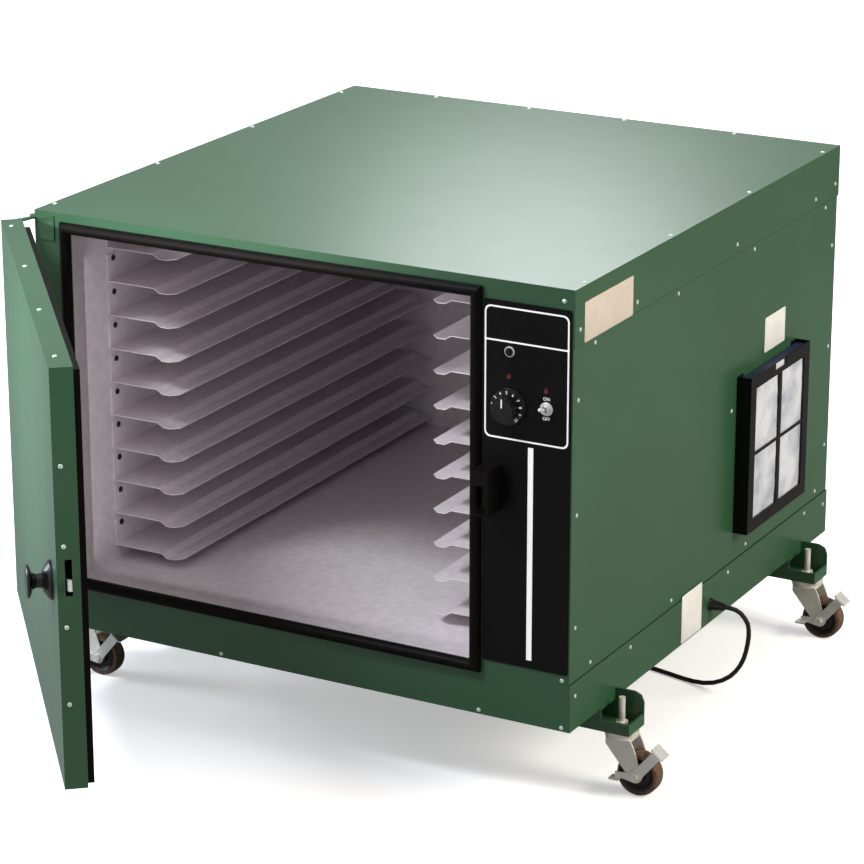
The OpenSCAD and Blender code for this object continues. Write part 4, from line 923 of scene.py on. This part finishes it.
class CABINET_OT_casters(bpy.types.Operator):
    """Dresses the caster brackets, forks and brakes and makes the two part wheels."""
    bl_idname = "cabinet.casters"
    bl_label = "Casters"

    def execute(self, context):
        dress("caster_brackets", "enamel", 30, 0.6 * MM)
        dress("caster_studs", "zinc", 40, 0.4 * MM)
        for i in range(1, 5):
            dress("caster_fork_%d" % i, "zinc", 35, 0.5 * MM)
            dress("brake_lever_%d" % i, "nickel", 35, 0.5 * MM)
            self.wheel(i)
        return {"FINISHED"}

    def wheel(self, i):
        """A wheel's black centre with its hub and ribs, and the brown tread round it."""
        node = "caster_wheel_%d" % i
        low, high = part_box(node)
        middle = (low + high) / 2
        r = (high.z - low.z) / 2
        half = 0.012
        bore = 0.00405
        hub = (high.y - low.y) / 2
        centre = bmesh.new()
        lathe(centre, mirrored([(bore, -hub), (0.0085, -hub), (0.011, -hub * 0.93),
                                (0.0125, -0.0075), (r * 0.6, -0.0065), (r * 0.7, -0.0098),
                                (r * 0.76, -half * 0.97), (r * 0.82, -half)],
                               [(r * 0.83, 0)]), middle, (0, 1, 0), 56)
        black = piece("wheel_centre_%d" % i, centre, "wheel_%d" % i, "wheel", 35)
        band = bmesh.new()
        lathe(band, mirrored([(r * 0.822, -half), (r * 0.9, -half), (r * 0.965, -half * 0.9),
                              (r * 0.995, -half * 0.66), (r, -half * 0.3)]),
              middle, (0, 1, 0), 64)
        tread = piece("wheel_tread_%d" % i, band, "wheel_%d" % i, "tread", 35)
        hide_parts(node)
        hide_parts(node)


class CABINET_OT_stage(bpy.types.Operator):
    """Makes the floor, the world and the lamps."""
    bl_idname = "cabinet.stage"
    bl_label = "Stage"

    def execute(self, context):
        scene = context.scene
        scene.view_settings.view_transform = "Standard"
        mesh = bmesh.new()
        reach, below = 14, 0.0002
        mesh.faces.new([mesh.verts.new((x * reach, y * reach, -below))
                        for x, y in ((-1, -1), (1, -1), (1, 1), (-1, 1))])
        data = bpy.data.meshes.new("studio_floor")
        mesh.to_mesh(data)
        mesh.free()
        ground = bpy.data.objects.new("studio_floor", data)
        scene.collection.objects.link(ground)
        data.materials.append(self.floor_paper())
        self.world(scene)
        middle = case_point(CASE_W / 2, CASE_D / 2, CASE_H / 2)
        lamps = [  # name, place in m from the case's middle, width, watts, colour
            ("front", (-1.3, -2.3, 2.9), 1.0, 105, "#F4FAFF"),
            ("left", (-3.6, -1.0, 0.8), 1.2, 70, "#EAFBFF"),
            ("side", (3.7, 0.1, 2.0), 2.0, 142, "#FFF8E0"),
            ("sky", (0.3, 0.4, 3.8), 3.0, 28, "#F4FAFF"),
            ("sheen", (-0.6, 1.45, 1.26), 0.85, 9.2, "#F8FCFF")]
        for name, offset, width, watts, code in lamps:
            lamp = self.lamp(name, "AREA", watts, middle + Vector(offset), -Vector(offset))
            lamp.shape = "DISK"
            lamp.size = width
            lamp.color = srgb(code)[:3]
            # The side lamp would stand as a glare on the top in a low view from the left
            bpy.data.objects[name].visible_glossy = name != "side"
        offset = Vector((-0.95, -3.3, 0.95))
        spot = self.lamp("chamber", "SPOT", 620, middle + offset,
                         Vector((-0.07, -0.1, 0.02)) - offset)
        spot.spot_size = math.radians(17)
        spot.spot_blend = 1.0
        spot.shadow_soft_size = 0.12
        # Soft fill that enters by the mouth alone, as a reflector card before the chamber gives
        card = self.lamp("chamber_fill", "AREA", 0.42, case_point(360, 30, 330), (0, 1, 0))
        card.shape = "RECTANGLE"
        card.size, card.size_y = 0.6, 0.46
        bpy.data.objects["chamber_fill"].visible_glossy = False
        return {"FINISHED"}

    def lamp(self, name, kind, watts, place, aim):
        """A lamp at a place that shines along aim and that the camera doesn't see."""
        data = bpy.data.lights.new(name, kind)
        data.energy = watts
        made = bpy.data.objects.new(name, data)
        bpy.context.scene.collection.objects.link(made)
        made.location = place
        made.rotation_euler = Vector(aim).to_track_quat("-Z", "Y").to_euler()
        made.visible_camera = False
        return data

    def backdrop_share(self, tree, in_gloss):
        """1 where the camera or clear material looks at the backdrop, and in_gloss in gloss."""
        seen = add(tree, "ShaderNodeLightPath")
        direct = add(tree, "ShaderNodeMath", {"operation": "MAXIMUM"}, {
            0: seen.outputs["Is Camera Ray"], 1: seen.outputs["Is Transmission Ray"]})
        gloss = add(tree, "ShaderNodeMath", {"operation": "MULTIPLY"}, {
            0: seen.outputs["Is Glossy Ray"]})
        gloss.inputs[1].default_value = in_gloss
        return add(tree, "ShaderNodeMath", {"operation": "MAXIMUM"}, {
            0: direct.outputs[0], 1: gloss.outputs[0]}).outputs[0]

    def floor_paper(self):
        """Matt white paper: seen white, it keeps the shadow, with painted shade where its glow
        dims round the cabinet.
        """
        material = bpy.data.materials.new("white backdrop paper")
        material.use_nodes = True
        tree = material.node_tree
        tree.nodes.clear()
        paper = add(tree, "ShaderNodeBsdfDiffuse", {"in:Color": srgb("#F8F7FF")})
        place = add(tree, "ShaderNodeTexCoord")
        away = add(tree, "ShaderNodeVectorMath", {"operation": "LENGTH"},
                   {0: place.outputs["Object"]})
        # Painted shade: the paper's glow is 0.42 within 0.5 m of the floor's origin under the
        # cabinet and rises to full by 1.7 m, so the floor is darker round the cabinet
        painted_shade_ramp = add(tree, "ShaderNodeMapRange", {
            "interpolation_type": "SMOOTHSTEP", "in:From Min": 0.5, "in:From Max": 1.7,
            "in:To Min": 0.42, "in:To Max": 1.0}, {"Value": away.outputs["Value"]})
        glow = add(tree, "ShaderNodeEmission", {"in:Color": rgba(colours().backdrop)},
                   {"Strength": painted_shade_ramp.outputs["Result"]})
        lit = add(tree, "ShaderNodeMixShader", links={
            "Fac": self.backdrop_share(tree, 0.04)})
        both = add(tree, "ShaderNodeAddShader", links={0: paper.outputs[0], 1: glow.outputs[0]})
        dim = add(tree, "ShaderNodeBsdfDiffuse", {"in:Color": srgb("#8C8C8C")})
        tree.links.new(dim.outputs[0], lit.inputs[1])
        tree.links.new(both.outputs[0], lit.inputs[2])
        add(tree, "ShaderNodeOutputMaterial", links={"Surface": lit.outputs[0]})
        return material

    def world(self, scene):
        """An even pale surround that shows plain white to the camera and brighter in gloss."""
        world = bpy.data.worlds.new("studio")
        scene.world = world
        world.use_nodes = True
        tree = world.node_tree
        tree.nodes.clear()
        shown = self.backdrop_share(tree, 0.3)
        soft = add(tree, "ShaderNodeBackground", {"in:Color": srgb("#F4F4F6"),
                                                  "in:Strength": 0.28})
        plain = add(tree, "ShaderNodeBackground", {"in:Color": (1, 1, 1, 1), "in:Strength": 1.0})
        mix = add(tree, "ShaderNodeMixShader", links={"Fac": shown})
        tree.links.new(soft.outputs[0], mix.inputs[1])
        tree.links.new(plain.outputs[0], mix.inputs[2])
        add(tree, "ShaderNodeOutputWorld", links={"Surface": mix.outputs[0]})


class CABINET_PT_sidebar(bpy.types.Panel):
    """Lists the steps in the order in which they run."""
    bl_label = "Drying cabinet"
    bl_idname = "CABINET_PT_sidebar"
    bl_space_type = "VIEW_3D"
    bl_region_type = "UI"
    bl_category = "Cabinet"

    def draw(self, context):
        column = self.layout.column()
        for group in (sizes(), colours()):
            for key in group.__annotations__:
                column.prop(group, key)
        for step in STEPS:
            column.operator(step.bl_idname)


STEPS = (CABINET_OT_camera, CABINET_OT_lead, CABINET_OT_sheet_metal, CABINET_OT_fasteners,
         CABINET_OT_controls, CABINET_OT_labels, CABINET_OT_air, CABINET_OT_door,
         CABINET_OT_casters, CABINET_OT_stage)
CLASSES = (CabinetSizes, CabinetColours, *STEPS, CABINET_PT_sidebar)


def register():
    for made in CLASSES:
        bpy.utils.register_class(made)
    bpy.types.Scene.cabinet_sizes = bpy.props.PointerProperty(type=CabinetSizes)
    bpy.types.Scene.cabinet_colours = bpy.props.PointerProperty(type=CabinetColours)


def unregister():
    del bpy.types.Scene.cabinet_sizes
    del bpy.types.Scene.cabinet_colours
    for made in reversed(CLASSES):
        bpy.utils.unregister_class(made)


def main():
    """Runs every step in order."""
    register()
    for step in STEPS:
        group, name = step.bl_idname.split(".")
        getattr(getattr(bpy.ops, group), name)()


if __name__ == "__main__":
    main()
